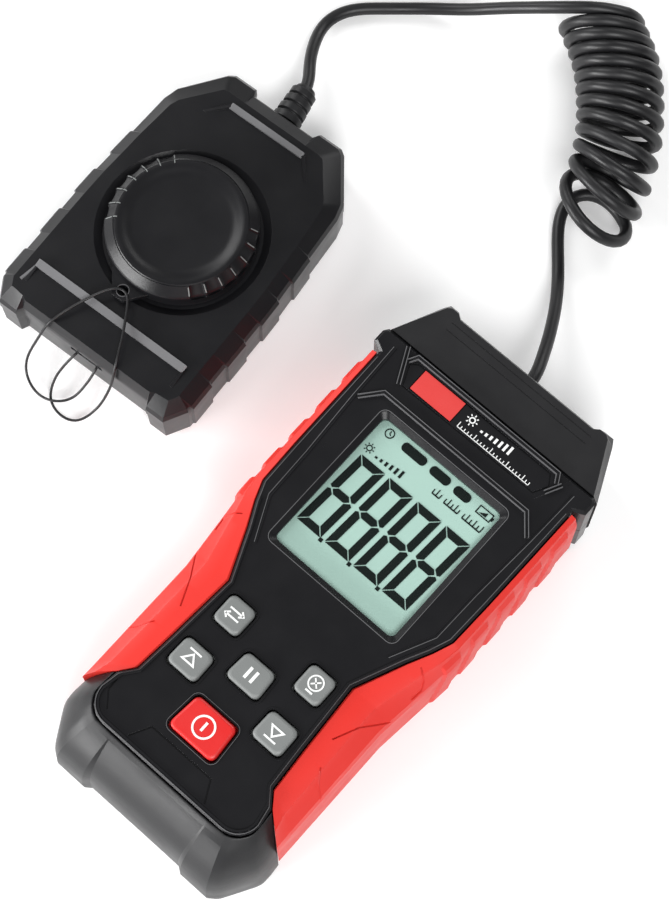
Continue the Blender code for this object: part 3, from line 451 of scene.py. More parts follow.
def add_strip(bm, points, width, low, high, closed=False, crown=0.0):
    """A raised or sunk strip along a polyline, narrower on top by the crown on each side."""
    outer = stroke(points, width, closed)
    inner = stroke(points, width - 2 * crown, closed)
    sections = []
    for root_left, root_right, top_left, top_right in zip(*outer, *inner):
        sections.append([(*root_left, low), (*root_right, low), (*top_right, high), (*top_left, high)])
    if not closed:
        add_loft(bm, sections)
        return
    loops = [[bm.verts.new(point) for point in section] for section in sections]
    for near, far in zip(loops, loops[1:] + loops[:1]):
        bridge(bm, near, far)


def strip_tool(points, width, low, high, closed=False):
    """A fill function for cut() that makes one strip."""
    return lambda bm: add_strip(bm, points, width, low, high, closed)


def prism_tool(outline, low, high):
    """A fill function for cut() that makes one prism."""
    return lambda bm: add_prism(bm, outline, low, high)


def cut(target, fill):
    """Cut from a piece the solid in millimetres that a fill function puts in a bmesh."""
    bm = bmesh.new()
    fill(bm)
    tool = add_object("tool", finished_mesh("tool", bm, target.data.materials[0]))
    step = target.modifiers.new("shape", "BOOLEAN")
    step.operation = "DIFFERENCE"
    step.solver = "EXACT"
    step.object = tool
    bpy.context.view_layer.update()
    shaped = bpy.data.meshes.new_from_object(target.evaluated_get(bpy.context.evaluated_depsgraph_get()))
    target.modifiers.remove(step)
    target.data = shaped
    bpy.data.objects.remove(tool, do_unlink=True)


def skin(node, finish, tools=()):
    """A copy of a CAD node's surface in clean faces, cut by the given tools, that stands for the node."""
    mesh = NODES[node].data.copy()
    mesh.name = node + "_skin"
    mesh.materials.clear()
    mesh.materials.append(MATERIALS[finish])
    piece = add_object(node + "_skin", mesh)
    for fill in tools:
        cut(piece, fill)
    bm = bmesh.new()
    bm.from_mesh(piece.data)
    bmesh.ops.remove_doubles(bm, verts=bm.verts, dist=WELD_DISTANCE)
    bmesh.ops.dissolve_limit(bm, angle_limit=FLAT_ANGLE, verts=bm.verts, edges=bm.edges)
    bm.to_mesh(piece.data)
    bm.free()
    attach(piece, BODY_OF[node])
    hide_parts(node)
    return piece


def soften(piece, width, segments, angle):
    """Round a piece's edges that are sharper than an angle in degrees, leaving its flat faces flat."""
    piece.data.shade_smooth()
    piece.data.set_sharp_from_angle(angle=math.radians(max(angle, LEAST_SHARP_ANGLE)))
    bevel = piece.modifiers.new("edges", "BEVEL")
    bevel.width = width * MM
    bevel.segments = segments
    bevel.limit_method = "ANGLE"
    bevel.angle_limit = math.radians(angle)
    bevel.miter_outer = "MITER_ARC"
    even = piece.modifiers.new("even", "WEIGHTED_NORMAL")
    even.weight = 100
    even.keep_sharp = True


def smooth_route(points, spacing):
    """Points read every spacing from a smooth curve through the route's own points."""
    route = [Vector(p) for p in points]
    points_between = 24
    dense = [route[0]]
    for i in range(len(route) - 1):
        before = route[max(i - 1, 0)]
        after = route[min(i + 2, len(route) - 1)]
        pull_out = (route[i + 1] - before) / 6
        pull_in = (after - route[i]) / 6
        here, there = route[i], route[i + 1]
        dense += interpolate_bezier(here, here + pull_out, there - pull_in, there, points_between)[1:]
    total = sum((b - a).length for a, b in zip(dense, dense[1:]))
    steps = max(2, round(total / spacing))
    out = [dense[0]]
    travelled = 0.0
    for a, b in zip(dense, dense[1:]):
        travelled += (b - a).length
        if travelled >= total * len(out) / steps and len(out) < steps:
            out.append(b)
    return out + [dense[-1]]


def add_tube(bm, path, radius, sides):
    """A round tube whose rings stand square to the path without twisting."""
    side = (path[1] - path[0]).orthogonal().normalized()
    angles = [2 * math.pi * k / sides for k in range(sides)]
    rings = []
    for i, here in enumerate(path):
        along = (path[min(i + 1, len(path) - 1)] - path[max(i - 1, 0)]).normalized()
        side = (side - along * side.dot(along)).normalized()
        up = along.cross(side)
        rings.append([here + (side * math.cos(a) + up * math.sin(a)) * radius for a in angles])
    add_loft(bm, rings)


# ---------------------------------------------------------------- camera and cord

def make_camera():
    data = bpy.data.cameras.new("camera")
    data.lens = CAMERA_LENS
    data.sensor_width = CAMERA_SENSOR
    camera = add_object("camera", data)
    camera.location = CAMERA_PLACE
    camera.rotation_euler = (math.radians(90 - CAMERA_ELEVATION), 0.0, math.radians(CAMERA_AZIMUTH))
    bpy.context.scene.camera = camera


def coil_station(turn):
    """The coil's centre, heading and lean at a turn, read smoothly between the stations."""
    stations = COIL_STATIONS
    k = max(i for i in range(len(stations) - 1) if stations[i][0] <= turn)
    span = stations[k + 1][0] - stations[k][0]
    t = (turn - stations[k][0]) / span
    before = stations[max(k - 1, 0)]
    after = stations[min(k + 2, len(stations) - 1)]
    values = []
    for c in (1, 2, 3, 4):
        a, b = stations[k][c], stations[k + 1][c]
        leave = (b - before[c]) / (stations[k + 1][0] - before[0]) * span
        arrive = (after[c] - a) / (after[0] - stations[k][0]) * span
        values.append(a * (2 * t**3 - 3 * t**2 + 1) + leave * (t**3 - 2 * t**2 + t)
                      + b * (3 * t**2 - 2 * t**3) + arrive * (t**3 - t**2))
    x, y, heading, lean = values
    lean = math.radians(lean)
    centre = Vector((x, y, COIL_RADIUS * math.cos(lean) + CORD_RADIUS))
    return centre, math.radians(heading), lean


def coil_point(turn):
    """A point of the helix, whose turns stand upright and lean over as the coil sags."""
    centre, heading, lean = coil_station(turn)
    level = Vector((math.cos(heading), math.sin(heading), 0.0))
    ahead = Vector((math.sin(heading), -math.cos(heading), 0.0))
    rise = Vector((0.0, 0.0, math.cos(lean))) + ahead * math.sin(lean)
    angle = 2 * math.pi * turn
    return centre + (level * math.sin(angle) + rise * math.cos(angle)) * COIL_RADIUS


def relaxed(path, passes=8):
    """The path with its kinks eased out, its ends held."""
    for _ in range(passes):
        inner = [(a + 2 * b + c) / 4 for a, b, c in zip(path, path[1:], path[2:])]
        path = [path[0]] + inner + [path[-1]]
    return path


def tube_piece(name, path, radius, sides, finish):
    """A tube along a path in metres, smooth all round."""
    bm = bmesh.new()
    add_tube(bm, path, radius, sides)
    mesh = finished_mesh(name, bm, MATERIALS[finish], unit=1.0)
    mesh.shade_smooth()
    return add_object(name, mesh)


def make_cord():
    """The whole curly cord as one tube, from the display unit to the sensor head."""
    steps = round(COIL_TURNS * POINTS_PER_TURN)
    coil = [coil_point(COIL_TURNS * k / steps) for k in range(steps + 1)]
    low = relaxed(smooth_route(METER_RUN + [coil[-1], coil[-4]], CORD_SPACING))
    high = relaxed(smooth_route([coil[3], coil[0]] + HEAD_RUN, CORD_SPACING))
    path = low[:-1] + list(reversed(coil))[3:-3] + high[1:]
    cord = tube_piece("curly_cord", path, CORD_RADIUS, 16, "cord_black")
    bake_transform(cord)
    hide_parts("cord_meter_run", "cord_coil", "cord_head_run")


def make_lanyard():
    """The string that ties the cap's tab to the slot in the head's heel."""
    place = head_matrix(MM)
    path = relaxed(smooth_route([place @ Vector(p) for p in LANYARD], 0.001), 4)
    string = tube_piece("lanyard_string", path, STRING_RADIUS, 10, "cord_black")
    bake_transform(string)
    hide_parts("lanyard")


# ---------------------------------------------------------------- display unit

def along_edge(points, y):
    """The x of a polyline listed from high to low y, at a given y."""
    if y >= points[0][1]:
        return points[0][0]
    for (x0, y0), (x1, y1) in zip(points, points[1:]):
        if y1 <= y <= y0:
            return x0 + (x1 - x0) * (y - y0) / (y1 - y0)
    return points[-1][0]


def both_sides(points):
    return [points, [(-x, y) for x, y in points]]


def foot_arc(radius):
    return circle(FOOT_CENTRE, radius, 9, 0.0, -90.0)


def plate_grooves():
    """Fine lines sunk in the front plate: (points, width, closed)."""
    name_panel = [(-24.8, 56.4), (-22.6, 57.6), (22.4, 57.6), (24.4, 54.6), (22.2, 50.6), (-22.2, 50.2)]
    u_mark = [(-13.0, -65.4), (-10.0, -59.8), (10.0, -59.8), (13.0, -65.4)]
    corner = [(-25.0, -56.2), (-24.8, -60.0), (-21.6, -64.0)]
    return [(name_panel, 0.4, True), (u_mark, 0.5, False), (corner, 0.4, False)]


def make_front_shell():
    tools = [strip_tool(points, width, PLATE_Z - 0.35, PLATE_Z + 0.4, closed)
             for points, width, closed in plate_grooves()]
    soften(skin("front_shell", "shell_black", tools), 0.35, 2, 30.0)


def make_rims():
    """The lip that runs along the plate's edge at the waist and foot, and the step inside it."""
    lip = [(along_edge(CASE_EDGE, y) - 1.2, y) for y in (3.0, 1.0, -5.0, -18.8, -39.0, -51.2, -55.0, -60.5)]
    right = lip + foot_arc(FOOT_LIP_RADIUS)[1:]
    left = [(-x, y) for x, y in reversed(right)]
    bm = bmesh.new()
    add_strip(bm, right + left, 0.9, STRIP_ROOT_Z, PLATE_Z + 0.45, crown=0.22)
    place_mesh("plate_lip", bm, "shell_black", "meter")

    bm = bmesh.new()
    for line in both_sides([(30.2, 57.0), (29.6, 40.0), (28.4, 20.0), (28.0, 5.0), (22.4, -7.0)]):
        add_strip(bm, line, 0.7, STRIP_ROOT_Z, PLATE_Z + 0.18, crown=0.25)
    place_mesh("plate_step", bm, "shell_black", "meter")


def parallel(points, distance):
    """The open polyline moved sideways."""
    lefts, _ = stroke(points, 2 * distance)
    return lefts


def make_painted_highlight_lines():
    """Painted highlights as thin lighter grey lines: on the plate's ridges and lips, and round the window and
    the plate.
    """
    name_ridge = [(-25.4, 56.4), (-24.0, 58.9), (24.0, 58.9), (25.4, 56.4)]
    display_ridge = [(-29.0, 40.2), (-24.4, 45.6), (24.4, 45.6), (29.0, 40.2)]
    left_slash = [(-28.0, 59.4), (-23.2, 49.8)]
    right_slash = [(26.8, 57.0), (24.6, 52.6)]
    bm = bmesh.new()
    for ridge in (name_ridge, display_ridge, left_slash, right_slash):
        for offset in (-0.48, 0.48):
            add_strip(bm, parallel(ridge, offset), 0.3, PLATE_Z + 0.3, PLATE_Z + 0.9, crown=0.05)
    window = rounded(box_outline((0.0, 19.3), 21.9, 23.5), 2.2)
    add_strip(bm, window, 0.26, STRIP_ROOT_Z, PLATE_Z + 0.08, closed=True, crown=0.04)
    for line in both_sides([(31.0, 57.0), (30.4, 40.0), (29.2, 20.0), (28.8, 5.0), (23.0, -7.0)]):
        add_strip(bm, line, 0.24, STRIP_ROOT_Z, PLATE_Z + 0.1, crown=0.04)
    heights = (52.0, 20.0, 7.0, 1.4, -5.0, -18.8, -39.0, -51.2, -55.4)
    right = [(along_edge(CASE_EDGE, y) - 0.75, y) for y in heights] + foot_arc(FOOT_LINE_RADIUS)
    outline = right + [(-x, y) for x, y in reversed(right)]
    add_strip(bm, outline, 0.24, STRIP_ROOT_Z - 0.5, PLATE_Z + 0.1, crown=0.04)
    # These lines are painted highlights along lit edges.
    place_mesh("painted_highlight_lines", bm, "shell_painted_highlight", "meter")


def grip_outer_x(y):
    """The x of the grip's flank with its pads: upright beside the display, closing in below the waist."""
    closing = min(1.0, max(0.0, (GRIP_WAIST_Y - y) / GRIP_CLOSING_LENGTH))
    return GRIP_OUTER_X - GRIP_CLOSING * closing


def grip_span(y_inner, y_outer):
    """The x of the grip's inner edge, and its width without the pads."""
    inner_x = along_edge(CASE_EDGE, y_inner) + GRIP_INSET
    return inner_x, grip_outer_x(y_outer) - PAD_RISE - inner_x


def pad_height(y, z):
    """How far the raised pads on the grip's flank stand out at a place; their ends slant with height."""
    if z > PAD_HIGH_Z or z < PAD_LOW_Z:
        return 0.0
    slant = (z - PAD_MIDDLE_Z) * PAD_SLANT
    for top in PAD_TOPS:
        inside = min(top + slant - y, y - (top - PAD_LENGTH + slant))
        if inside > 0:
            return PAD_RISE * min(1.0, inside / PAD_END_LENGTH) * min(1.0, (PAD_HIGH_Z - z) / PAD_FADE_HEIGHT)
    return 0.0


def grip_profile():
    """The grip's cross-section from its inner foot over its top to its outer foot: share of width, height."""
    crease_share, crease_z = GRIP_CREASE
    edge_share, edge_z = GRIP_EDGE
    steps = 6
    profile = [(0.0, 1.2), (0.0, 30.7), (0.04, GRIP_TOP_Z), (0.3, 30.9),
               (crease_share - 0.03, crease_z + 0.06), (crease_share + 0.02, crease_z - 0.12)]
    for k in range(1, steps + 1):
        profile.append((crease_share + (edge_share - crease_share) * (k / steps),
                        crease_z + (edge_z - crease_z) * (k / steps)))
    profile += [(1.0, z) for z in (24.0, 21.0, 18.0, 15.0, 12.0, 9.0, 6.5, 5.0, 3.6)]
    return profile + [(0.94, 2.0), (0.8, 1.2)]


def grip_section(y_inner, y_outer):
    """One cross-section of the right grip: level top, slanted shoulder and upright flank."""
    inner_x, width = grip_span(y_inner, y_outer)
    section = []
    for share, z in grip_profile():
        x = inner_x + width * share
        y = y_inner + (y_outer - y_inner) * share
        if share > GRIP_CREASE[0] + 0.1 and z > 3.0:
            x += pad_height(y, z)
        section.append((x, y, z))
    return section


def grip_top_z(x, y):
    """Height of the grip's top and shoulder at a place in plan."""
    crease_share, crease_z = GRIP_CREASE
    edge_share, edge_z = GRIP_EDGE
    inner_x, width = grip_span(y, y)
    share = (x - inner_x) / width
    if share < crease_share:
        return GRIP_TOP_Z + (crease_z - GRIP_TOP_Z) * max(0.0, share) / crease_share
    return crease_z + (edge_z - crease_z) / (edge_share - crease_share) * (share - crease_share)


def add_grip_groove(bm, line, side):
    """A narrow groove that follows the grip's surface along a line in plan."""
    steps = 10
    dense = []
    for a, b in zip(line, line[1:]):
        dense += [Vector(a).lerp(Vector(b), k / steps) for k in range(steps)]
    dense.append(Vector(line[-1]))
    lefts, rights = stroke([tuple(p) for p in dense], GROOVE_SIZE)
    sections = []
    for middle, left, right in zip(dense, lefts, rights):
        floor = grip_top_z(middle.x, middle.y) - GROOVE_SIZE
        near, far = (side * left[0], left[1]), (side * right[0], right[1])
        sections.append([(*near, floor), (*far, floor), (*far, PLATE_Z + 1.0), (*near, PLATE_Z + 1.0)])
    add_loft(bm, sections)


def make_grips():
    sections = []
    for k in range(GRIP_SECTIONS + 1):
        y = GRIP_TOP_Y + (GRIP_BOTTOM_Y - GRIP_TOP_Y) * k / GRIP_SECTIONS
        drop = GRIP_TOE_DROP * max(0.0, (GRIP_TOE_Y - y) / GRIP_TOE_LENGTH)
        sections.append(grip_section(y, y - drop))
    for name, side in (("left_grip", -1), ("right_grip", 1)):
        bm = bmesh.new()
        add_loft(bm, [[(side * x, y, z) for x, y, z in section] for section in sections])
        grip = place_mesh(name + "_skin", bm, "rubber_red", "meter")
        for line in GRIP_GROOVES:
            cut(grip, lambda tool: add_grip_groove(tool, line, side))
        grip.data.shade_smooth()
        grip.data.set_sharp_from_angle(angle=math.radians(GRIP_SHARP_ANGLE))
        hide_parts(name)


def eased(points, share, passes):
    """The polyline with its corners cut into soft bends, its ends held."""
    points = [Vector(p) for p in points]
    for _ in range(passes):
        softer = [points[0]]
        for a, b in zip(points, points[1:]):
            softer += [a.lerp(b, share), a.lerp(b, 1.0 - share)]
        points = softer + [points[-1]]
    return points


def make_bumper():
    """The bottom bumper: a curved slope round the foot, with a step either side of its recessed middle."""
    corner = circle(FOOT_CENTRE, FOOT_BUMPER_RADIUS, 7, 0.0, -90.0)[1:6]
    inner = eased([(26.8, -55.8)] + corner, 0.18, 2)
    outer = eased(BUMPER_OUTER, 0.18, 2)
    step = [((16.5, -67.8), (17.2, -81.2)), ((16.3, -67.8), (15.4, -79.9))]
    right = list(zip(inner, outer)) + [(Vector(near), Vector(far)) for near, far in step]
    left = [(Vector((-a.x, a.y)), Vector((-b.x, b.y))) for a, b in reversed(right)]
    profile = [(0.0, 0.6)] + [tuple(p) for p in eased(BUMPER_SLOPE, 0.22, 3)]
    rings = []
    for near, far in right + left:
        rings.append([(*near.lerp(far, share), z) for share, z in profile])
    bm = bmesh.new()
    add_loft(bm, rings)
    bumper = place_mesh("bottom_bumper_skin", bm, "rubber_black", "meter", smooth=13)
    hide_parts("bottom_bumper")


def make_housing_ends():
    lines = [strip_tool([(-24.0, y), (24.0, y)], 0.3, 31.45, 32.4) for y in (72.4, 70.0)]
    soften(skin("top_cap", "rubber_black", lines), 0.7, 3, 20.0)
    soften(skin("rear_shell", "shell_black"), 0.4, 2, 30.0)
    soften(skin("battery_cover", "shell_black", thumb_grooves()), 0.25, 2, 30.0)


def thumb_grooves():
    """Grooves near the battery cover's free edge, cut from below."""
    return [prism_tool(box_outline((0.0, y), 7.0, 0.5), 0.0, 0.8) for y in (-8.0, -10.2, -12.4, -14.6)]


def segment_outlines():
    """The seven segments of an upright digit whose lower left corner is the origin."""
    width, height, thick, gap = DIGIT_WIDTH, DIGIT_HEIGHT, SEGMENT_THICK, SEGMENT_GAP
    middle = height / 2
    half = thick / 2
    left, right = thick + gap, width - thick - gap
    level = [
        [(gap, height), (width - gap, height), (right, height - thick), (left, height - thick)],
        [(gap, 0.0), (width - gap, 0.0), (right, thick), (left, thick)],
        [(half + gap, middle), (left, middle + half), (right, middle + half),
         (width - half - gap, middle), (right, middle - half), (left, middle - half)],
    ]
    lower = [(0.0, gap), (0.0, middle - half * 0.4 - gap), (half * 0.7, middle - gap),
             (thick, middle - half - gap), (thick, thick + gap)]
    upper = [(0.0, middle + half * 0.4 + gap), (0.0, height - gap), (thick, height - thick - gap),
             (thick, middle + half + gap), (half * 0.7, middle + gap)]
    mirrored = [[(width - x, y) for x, y in side] for side in (lower, upper)]
    return level + [lower, mirrored[0], upper, mirrored[1]]


def make_lcd_digits(bm):
    """Four slanted seven-segment digits and their points."""
    for left in DIGIT_LEFTS:
        for shape in segment_outlines():
            outline = [(left + x + DIGIT_SLANT * y / DIGIT_HEIGHT, DIGIT_LOW_Y + y) for x, y in shape]
            add_prism(bm, lcd_place(outline), *LCD_PRINT)
    for x in POINT_PLACES:
        add_prism(bm, lcd_place(box_outline((x, 4.9), 0.55, 0.55)), *LCD_PRINT)


def sun_rays(centre, inner, outer):
    """The eight short lines round a small sun."""
    x, y = centre
    angles = [math.radians(45 * k) for k in range(8)]
    return [[(x + r * math.cos(a), y + r * math.sin(a)) for r in (inner, outer)] for a in angles]


def lcd_place(outline):
    """Display shapes are set out on the window's top, and shift a little as they lie below it."""
    return [(x - LCD_SHIFT, y + LCD_SHIFT) for x, y in outline]


def add_mark(bm, points, width, closed=False):
    add_strip(bm, lcd_place(points), width, *LCD_PRINT, closed=closed)


def make_lcd_marks(bm):
    """Status marks: a clock, three blank tabs, a battery, a sun, and small range bars."""
    add_mark(bm, circle((-16.2, 38.5), 1.25, 20), 0.32, True)
    add_mark(bm, [(-16.2, 39.3), (-16.2, 38.5), (-15.6, 38.1)], 0.28)
    for left, right in ((-11.7, -3.7), (-2.0, 4.5), (6.2, 11.5)):
        tab = rounded(box_outline(((left + right) / 2, 38.5), (right - left) / 2, 1.35), 1.2)
        add_prism(bm, lcd_place(tab), *LCD_PRINT)
    add_mark(bm, box_outline((16.6, 38.4), 2.2, 1.1), 0.32, True)
    add_mark(bm, [(19.2, 38.9), (19.2, 37.9)], 0.5)
    add_prism(bm, lcd_place([(15.2, 37.7), (17.4, 37.7), (17.4, 39.0)]), *LCD_PRINT)
    add_mark(bm, circle((-17.6, 32.0), 0.75, 16), 0.3, True)
    for ray in sun_rays((-17.6, 32.0), 1.05, 1.5):
        add_mark(bm, ray, 0.28)
    for k in range(6):
        x = -14.6 + 1.6 * k
        add_mark(bm, [(x, 30.9), (x, 31.5 + 0.32 * k)], 0.75)
    for x0, x1 in ((2.6, 5.0), (6.6, 11.2), (12.8, 18.8)):
        add_mark(bm, [(x0, 33.6), (x1, 33.6)], 0.4)
        ticks = round((x1 - x0) / 1.15)
        for k in range(ticks + 1):
            x = x0 + (x1 - x0) * k / ticks
            add_mark(bm, [(x, 33.6), (x, 34.9 + 0.7 * (k % 2))], 0.32)


def make_lcd():
    bm = bmesh.new()
    make_lcd_digits(bm)
    make_lcd_marks(bm)
    place_mesh("lcd_print", bm, "print_dark", "meter")


# ---------------------------------------------------------------- keys and prints

def key_icon(name, add):
    """Plain pictograms: each add(points, width, closed) draws one line about the key's centre."""
    if name == "unit_button":
        for side in (-1, 1):
            add([(-2.1, side * 0.95), (2.1, side * 0.95)], 0.5, False)
            add([(side * 1.2, side * 1.9), (side * 2.3, side * 0.95), (side * 1.2, 0.05)], 0.5, False)
    elif name == "light_button":
        add(circle((0.0, 0.5), 2.0, 24), 0.42, True)
        for a in (45, 135):
            dx, dy = 1.4 * math.cos(math.radians(a)), 1.4 * math.sin(math.radians(a))
            add([(-dx, 0.5 - dy), (dx, 0.5 + dy)], 0.4, False)
        add([(-1.1, -2.3), (1.1, -2.3)], 0.5, False)
    elif name == "hold_button":
        for x in (-1.0, 1.0):
            add([(x, -1.7), (x, 1.7)], 0.85, False)
    elif name in ("max_button", "min_button"):
        side = 1 if name == "max_button" else -1
        add([(-1.9, -side * 1.2), (1.9, -side * 1.2), (0.0, side * 1.3)], 0.5, True)
        add([(-1.9, side * 2.1), (1.9, side * 2.1)], 0.5, False)
    else:
        add(circle((0.0, 0.0), 2.9, 36), 0.55, True)
        add([(0.0, -1.2), (0.0, 1.5)], 0.7, False)


def make_keys():
    for name, (x, y) in KEYS.items():
        soften(skin(name, "key_red" if name == "power_button" else "key_grey"), 0.55, 3, 30.0)
        bm = bmesh.new()
        key_icon(name, lambda points, width, closed: add_strip(
            bm, [(x + px, y + py) for px, py in points], width, *KEY_PRINT, closed))
        place_mesh(name + "_icon", bm, "print_white", name)


def well_outline(name):
    """The outline of the rim round a key's well."""
    x, y = KEYS[name]
    far, near, length = KEY_WELLS[name]
    low, high = y - length - WELL_MARGIN, y + length + WELL_MARGIN
    return rounded([(x - near - WELL_MARGIN, low), (x + near + WELL_MARGIN, low),
                    (x + far + WELL_MARGIN, high), (x - far - WELL_MARGIN, high)], WELL_CORNER)


def make_key_wells():
    """A thin raised rim round each key's well, with a painted highlight line on the power key's."""
    line = bmesh.new()
    add_strip(line, well_outline("power_button"), 0.2, PLATE_Z + 0.1, PLATE_Z + 0.26, closed=True, crown=0.04)
    place_mesh("power_well_highlight", line, "shell_painted_highlight", "meter")
    bm = bmesh.new()
    for name in KEYS:
        add_strip(bm, well_outline(name), 0.5, PLATE_Z - 0.3, PLATE_Z + 0.2, closed=True, crown=0.14)
    place_mesh("key_well_rims", bm, "shell_black", "meter")


def make_plate_print():
    """A plain graphic in place of a title: a small sun, rising bars and a tick scale."""
    scale_left, scale_right, scale_y, tick_pitch = -4.2, 20.0, 51.3, 1.1
    sun = (-2.2, 55.2)
    bm = bmesh.new()
    add_strip(bm, circle(sun, 0.75, 20), 0.34, *PLATE_PRINT, closed=True)
    for ray in sun_rays(sun, 1.15, 1.7):
        add_strip(bm, ray, 0.3, *PLATE_PRINT)
    for k in range(7):
        x = 1.6 + 1.5 * k
        add_strip(bm, [(x, 54.1), (x, 54.7 + 0.32 * k)], 0.7, *PLATE_PRINT)
    add_strip(bm, [(scale_left, scale_y), (scale_right, scale_y)], 0.22, *PLATE_PRINT)
    for k in range(23):
        x = scale_left + tick_pitch * k
        add_strip(bm, [(x, scale_y), (x, 52.9 if k % 5 == 0 else 52.2)], 0.24, *PLATE_PRINT)
    place_mesh("plate_print", bm, "print_white", "meter")


# ---------------------------------------------------------------- sensor head

def make_head():
    soften(skin("sensor_front_shell", "shell_black"), 0.55, 3, 20.0)
    soften(skin("sensor_rear_shell", "shell_black"), 0.4, 2, 24.0)
    soften(skin("sensor_strain_relief", "rubber_black"), 0.2, 2, 30.0)
    root_z = HEAD_FACE_Z - 0.4
    bm = bmesh.new()
    for left, right, low_y, high_y, top in HEAD_BARS:
        rings = []
        for x, drop in ((left, 0.3), (left + 0.5, 0.0), (right - 0.5, 0.0), (right, 0.3)):
            low_top = top - drop - BAR_FALL * (high_y - low_y)
            rings.append([(x, low_y, root_z), (x, high_y, root_z),
                          (x, high_y, top - drop), (x, low_y, low_top)])
        add_loft(bm, rings)
    arm = [(-25.4, 0.9), (-26.6, -5.2)]
    add_strip(bm, arm, 1.5, root_z, HEAD_FACE_Z + 0.3, crown=0.5)
    # The bars are coloured lighter grey as a painted highlight.
    place_mesh("head_bars", bm, "bar_painted_highlight", "sensor_head", turn_to_head=True)


def flute_depth(angle):
    """Depth of the hollows in the rim's slope at an angle in degrees."""
    for middle in FLUTE_MIDDLES:
        offset = (angle - middle + 180.0) % 360.0 - 180.0
        if abs(offset) < FLUTE_SPREAD:
            within = abs((offset + FLUTE_SPREAD) % FLUTE_PITCH - FLUTE_PITCH / 2) / FLUTE_HALF_WIDTH
            return FLUTE_DEPTH * math.sqrt(max(0.0, 1.0 - within**2))
    return 0.0


def lens_cap_profile():
    """The cap's half section from its inside over the rim to its dish: radius, height, and whether fluted."""
    wall = [(0.01, 24.9), (17.0, 24.9), (19.2, 23.4), (19.2, CAP_FLOOR_Z), (CAP_RADIUS - 0.6, CAP_FLOOR_Z),
            (CAP_RADIUS, CAP_FLOOR_Z + 0.5), (CAP_RADIUS, 22.8)]
    slope = [(CAP_RADIUS, 23.0), (CAP_RADIUS, 23.9)]
    slope += [(CAP_RADIUS - 0.2 - 0.3 * k, 24.3 + 0.31 * k) for k in range(9)]
    crown = [(18.5, 26.65), (18.2, 26.95), (17.6, CAP_TOP_Z), (17.0, 26.95), (16.4, 26.84), (15.8, 26.66),
             (15.2, 26.46), (14.6, 26.3), (14.0, 26.2), (13.2, 26.14), (8.0, 26.1), (0.01, 26.1)]
    return [(*p, False) for p in wall] + [(*p, True) for p in slope] + [(*p, False) for p in crown]


def make_lens_cap():
    """The cap with its fluted rim and dish, the painted highlights on its ribs, and its tab."""
    angles = [360.0 * k / CAP_SEGMENTS for k in range(CAP_SEGMENTS)]
    bites = [flute_depth(angle) * FLUTE_SLANT for angle in angles]
    rings = []
    for r, z, fluted in lens_cap_profile():
        ring = []
        for angle, bite in zip(angles, bites):
            a = math.radians(angle)
            depth = bite if fluted else 0.0
            reach = r - depth
            ring.append((reach * math.cos(a), SENSOR_Y + reach * math.sin(a), z - depth))
        rings.append(ring)
    bm = bmesh.new()
    add_loft(bm, rings)
    cap = place_mesh("lens_cap_skin", bm, "shell_black", "lens_cap", smooth=26, turn_to_head=True)
    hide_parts("lens_cap")
    make_cap_rib_highlights()
    make_cap_tab()


def make_cap_rib_highlights():
    """Painted highlights on the ribs between the flutes, as light grey lines: from the crown down, or on the
    slope alone.
    """
    half_width, half_height = 0.15, 0.06
    up = Vector((0.0, 0.0, 1.0))
    bm = bmesh.new()
    for middle, line in zip(FLUTE_MIDDLES, (RIB_HIGHLIGHT_TRACK, RIB_HIGHLIGHT_TRACK[2:])):
        for k in range(FLUTES + 1):
            a = math.radians(middle - FLUTE_SPREAD + FLUTE_PITCH * k)
            out = Vector((math.cos(a), math.sin(a), 0.0))
            across = Vector((-math.sin(a), math.cos(a), 0.0)) * half_width
            rise = (out + up) * half_height
            rings = []
            for r, z in line:
                here = Vector((0.0, SENSOR_Y, z)) + out * r
                rings.append([here - across - rise, here + across - rise,
                              here + across + rise, here - across + rise])
            add_loft(bm, rings)
    place_mesh("cap_rib_highlights", bm, "key_grey", "lens_cap", turn_to_head=True)


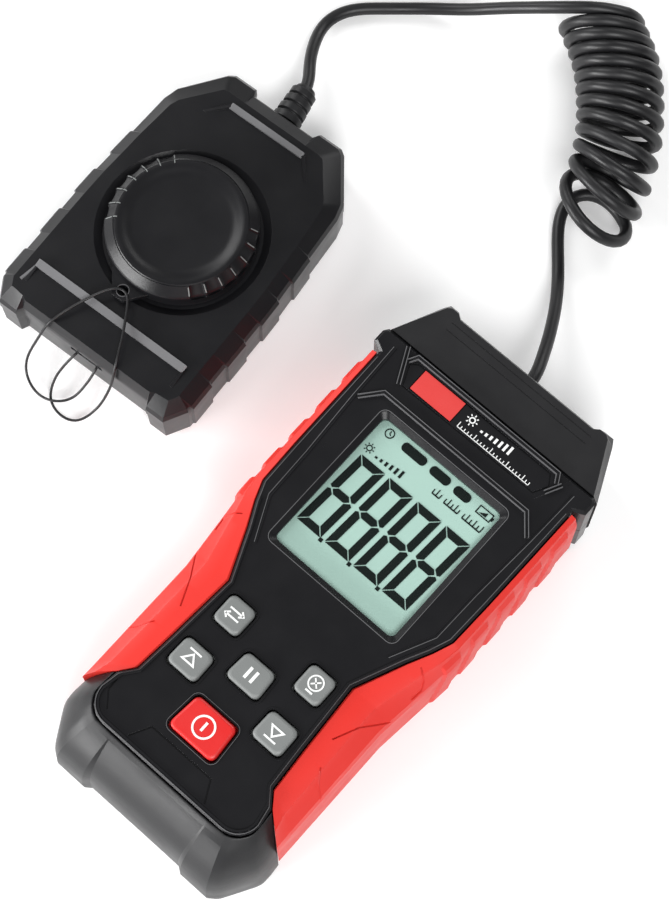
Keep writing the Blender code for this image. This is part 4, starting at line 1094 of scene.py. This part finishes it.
def make_cap_tab():
    """The tab at the cap's edge, its hole for the string and the painted highlight ring round the hole."""
    outline = [(-9.4, TAB_EDGE_Y + 2.4), (-4.7, TAB_EDGE_Y - 3.4), (-3.5, TAB_EDGE_Y - 5.2),
               (0.3, TAB_EDGE_Y - 5.2), (1.5, TAB_EDGE_Y - 3.4), (6.2, TAB_EDGE_Y + 2.4)]
    bm = bmesh.new()
    add_prism(bm, rounded(outline, 1.1, 4), 20.6, 22.2)
    tab = place_mesh("cap_tab", bm, "shell_black", "lens_cap", turn_to_head=True)
    turned = [head_matrix() @ Vector((x, y, 0.0)) for x, y in circle(TAB_HOLE, 1.5, 20)]
    cut(tab, prism_tool([(p.x, p.y) for p in turned], 20.0, 23.0))
    soften(tab, 0.3, 2, 30.0)
    bm = bmesh.new()
    add_strip(bm, circle(TAB_HOLE, 1.75, 24), 0.24, 22.1, 22.35, closed=True, crown=0.04)
    place_mesh("cap_tab_highlight_ring", bm, "shell_painted_highlight", "lens_cap", turn_to_head=True)


# ---------------------------------------------------------------- inside pieces and studio

def finish_inside():
    """Carried-over nodes keep their shape and take their slot's finish."""
    slots = {part["node"]: part["material_slot"] for part in frame["record"]["subparts"]}
    for node, obj in NODES.items():
        obj.data.materials.clear()
        obj.data.materials.append(MATERIALS[slots[node]])


def area_light(name, place, size, power):
    data = bpy.data.lights.new(name, "AREA")
    data.shape = "RECTANGLE"
    data.size, data.size_y = size
    data.energy = power
    light = add_object(name, data)
    light.location = place
    light.rotation_euler = (Vector(LIGHT_TARGET) - Vector(place)).to_track_quat("-Z", "Y").to_euler()


def make_studio():
    bm = bmesh.new()
    add_prism(bm, box_outline((-40.0, 40.0), FLOOR_HALF_SIZE, FLOOR_HALF_SIZE), -20.0, -0.2)
    floor = place_mesh("floor", bm, "floor", None)
    world = bpy.data.worlds.new("studio")
    bpy.context.scene.world = world
    world.use_nodes = True
    sky = world.node_tree.nodes["Background"]
    sky.inputs["Color"].default_value = (1.0, 1.0, 1.0, 1.0)
    sky.inputs["Strength"].default_value = SKY_STRENGTH
    bpy.context.scene.view_settings.view_transform = "Standard"
    for name, place, size, power in LIGHTS:
        area_light(name, place, size, power)


# ---------------------------------------------------------------- build

MATERIALS = make_materials()
make_camera()
finish_inside()
make_cord()
make_lanyard()
make_front_shell()
make_rims()
make_painted_highlight_lines()
make_grips()
make_bumper()
make_housing_ends()
make_lcd()
make_keys()
make_key_wells()
make_plate_print()
make_head()
make_lens_cap()
make_studio()
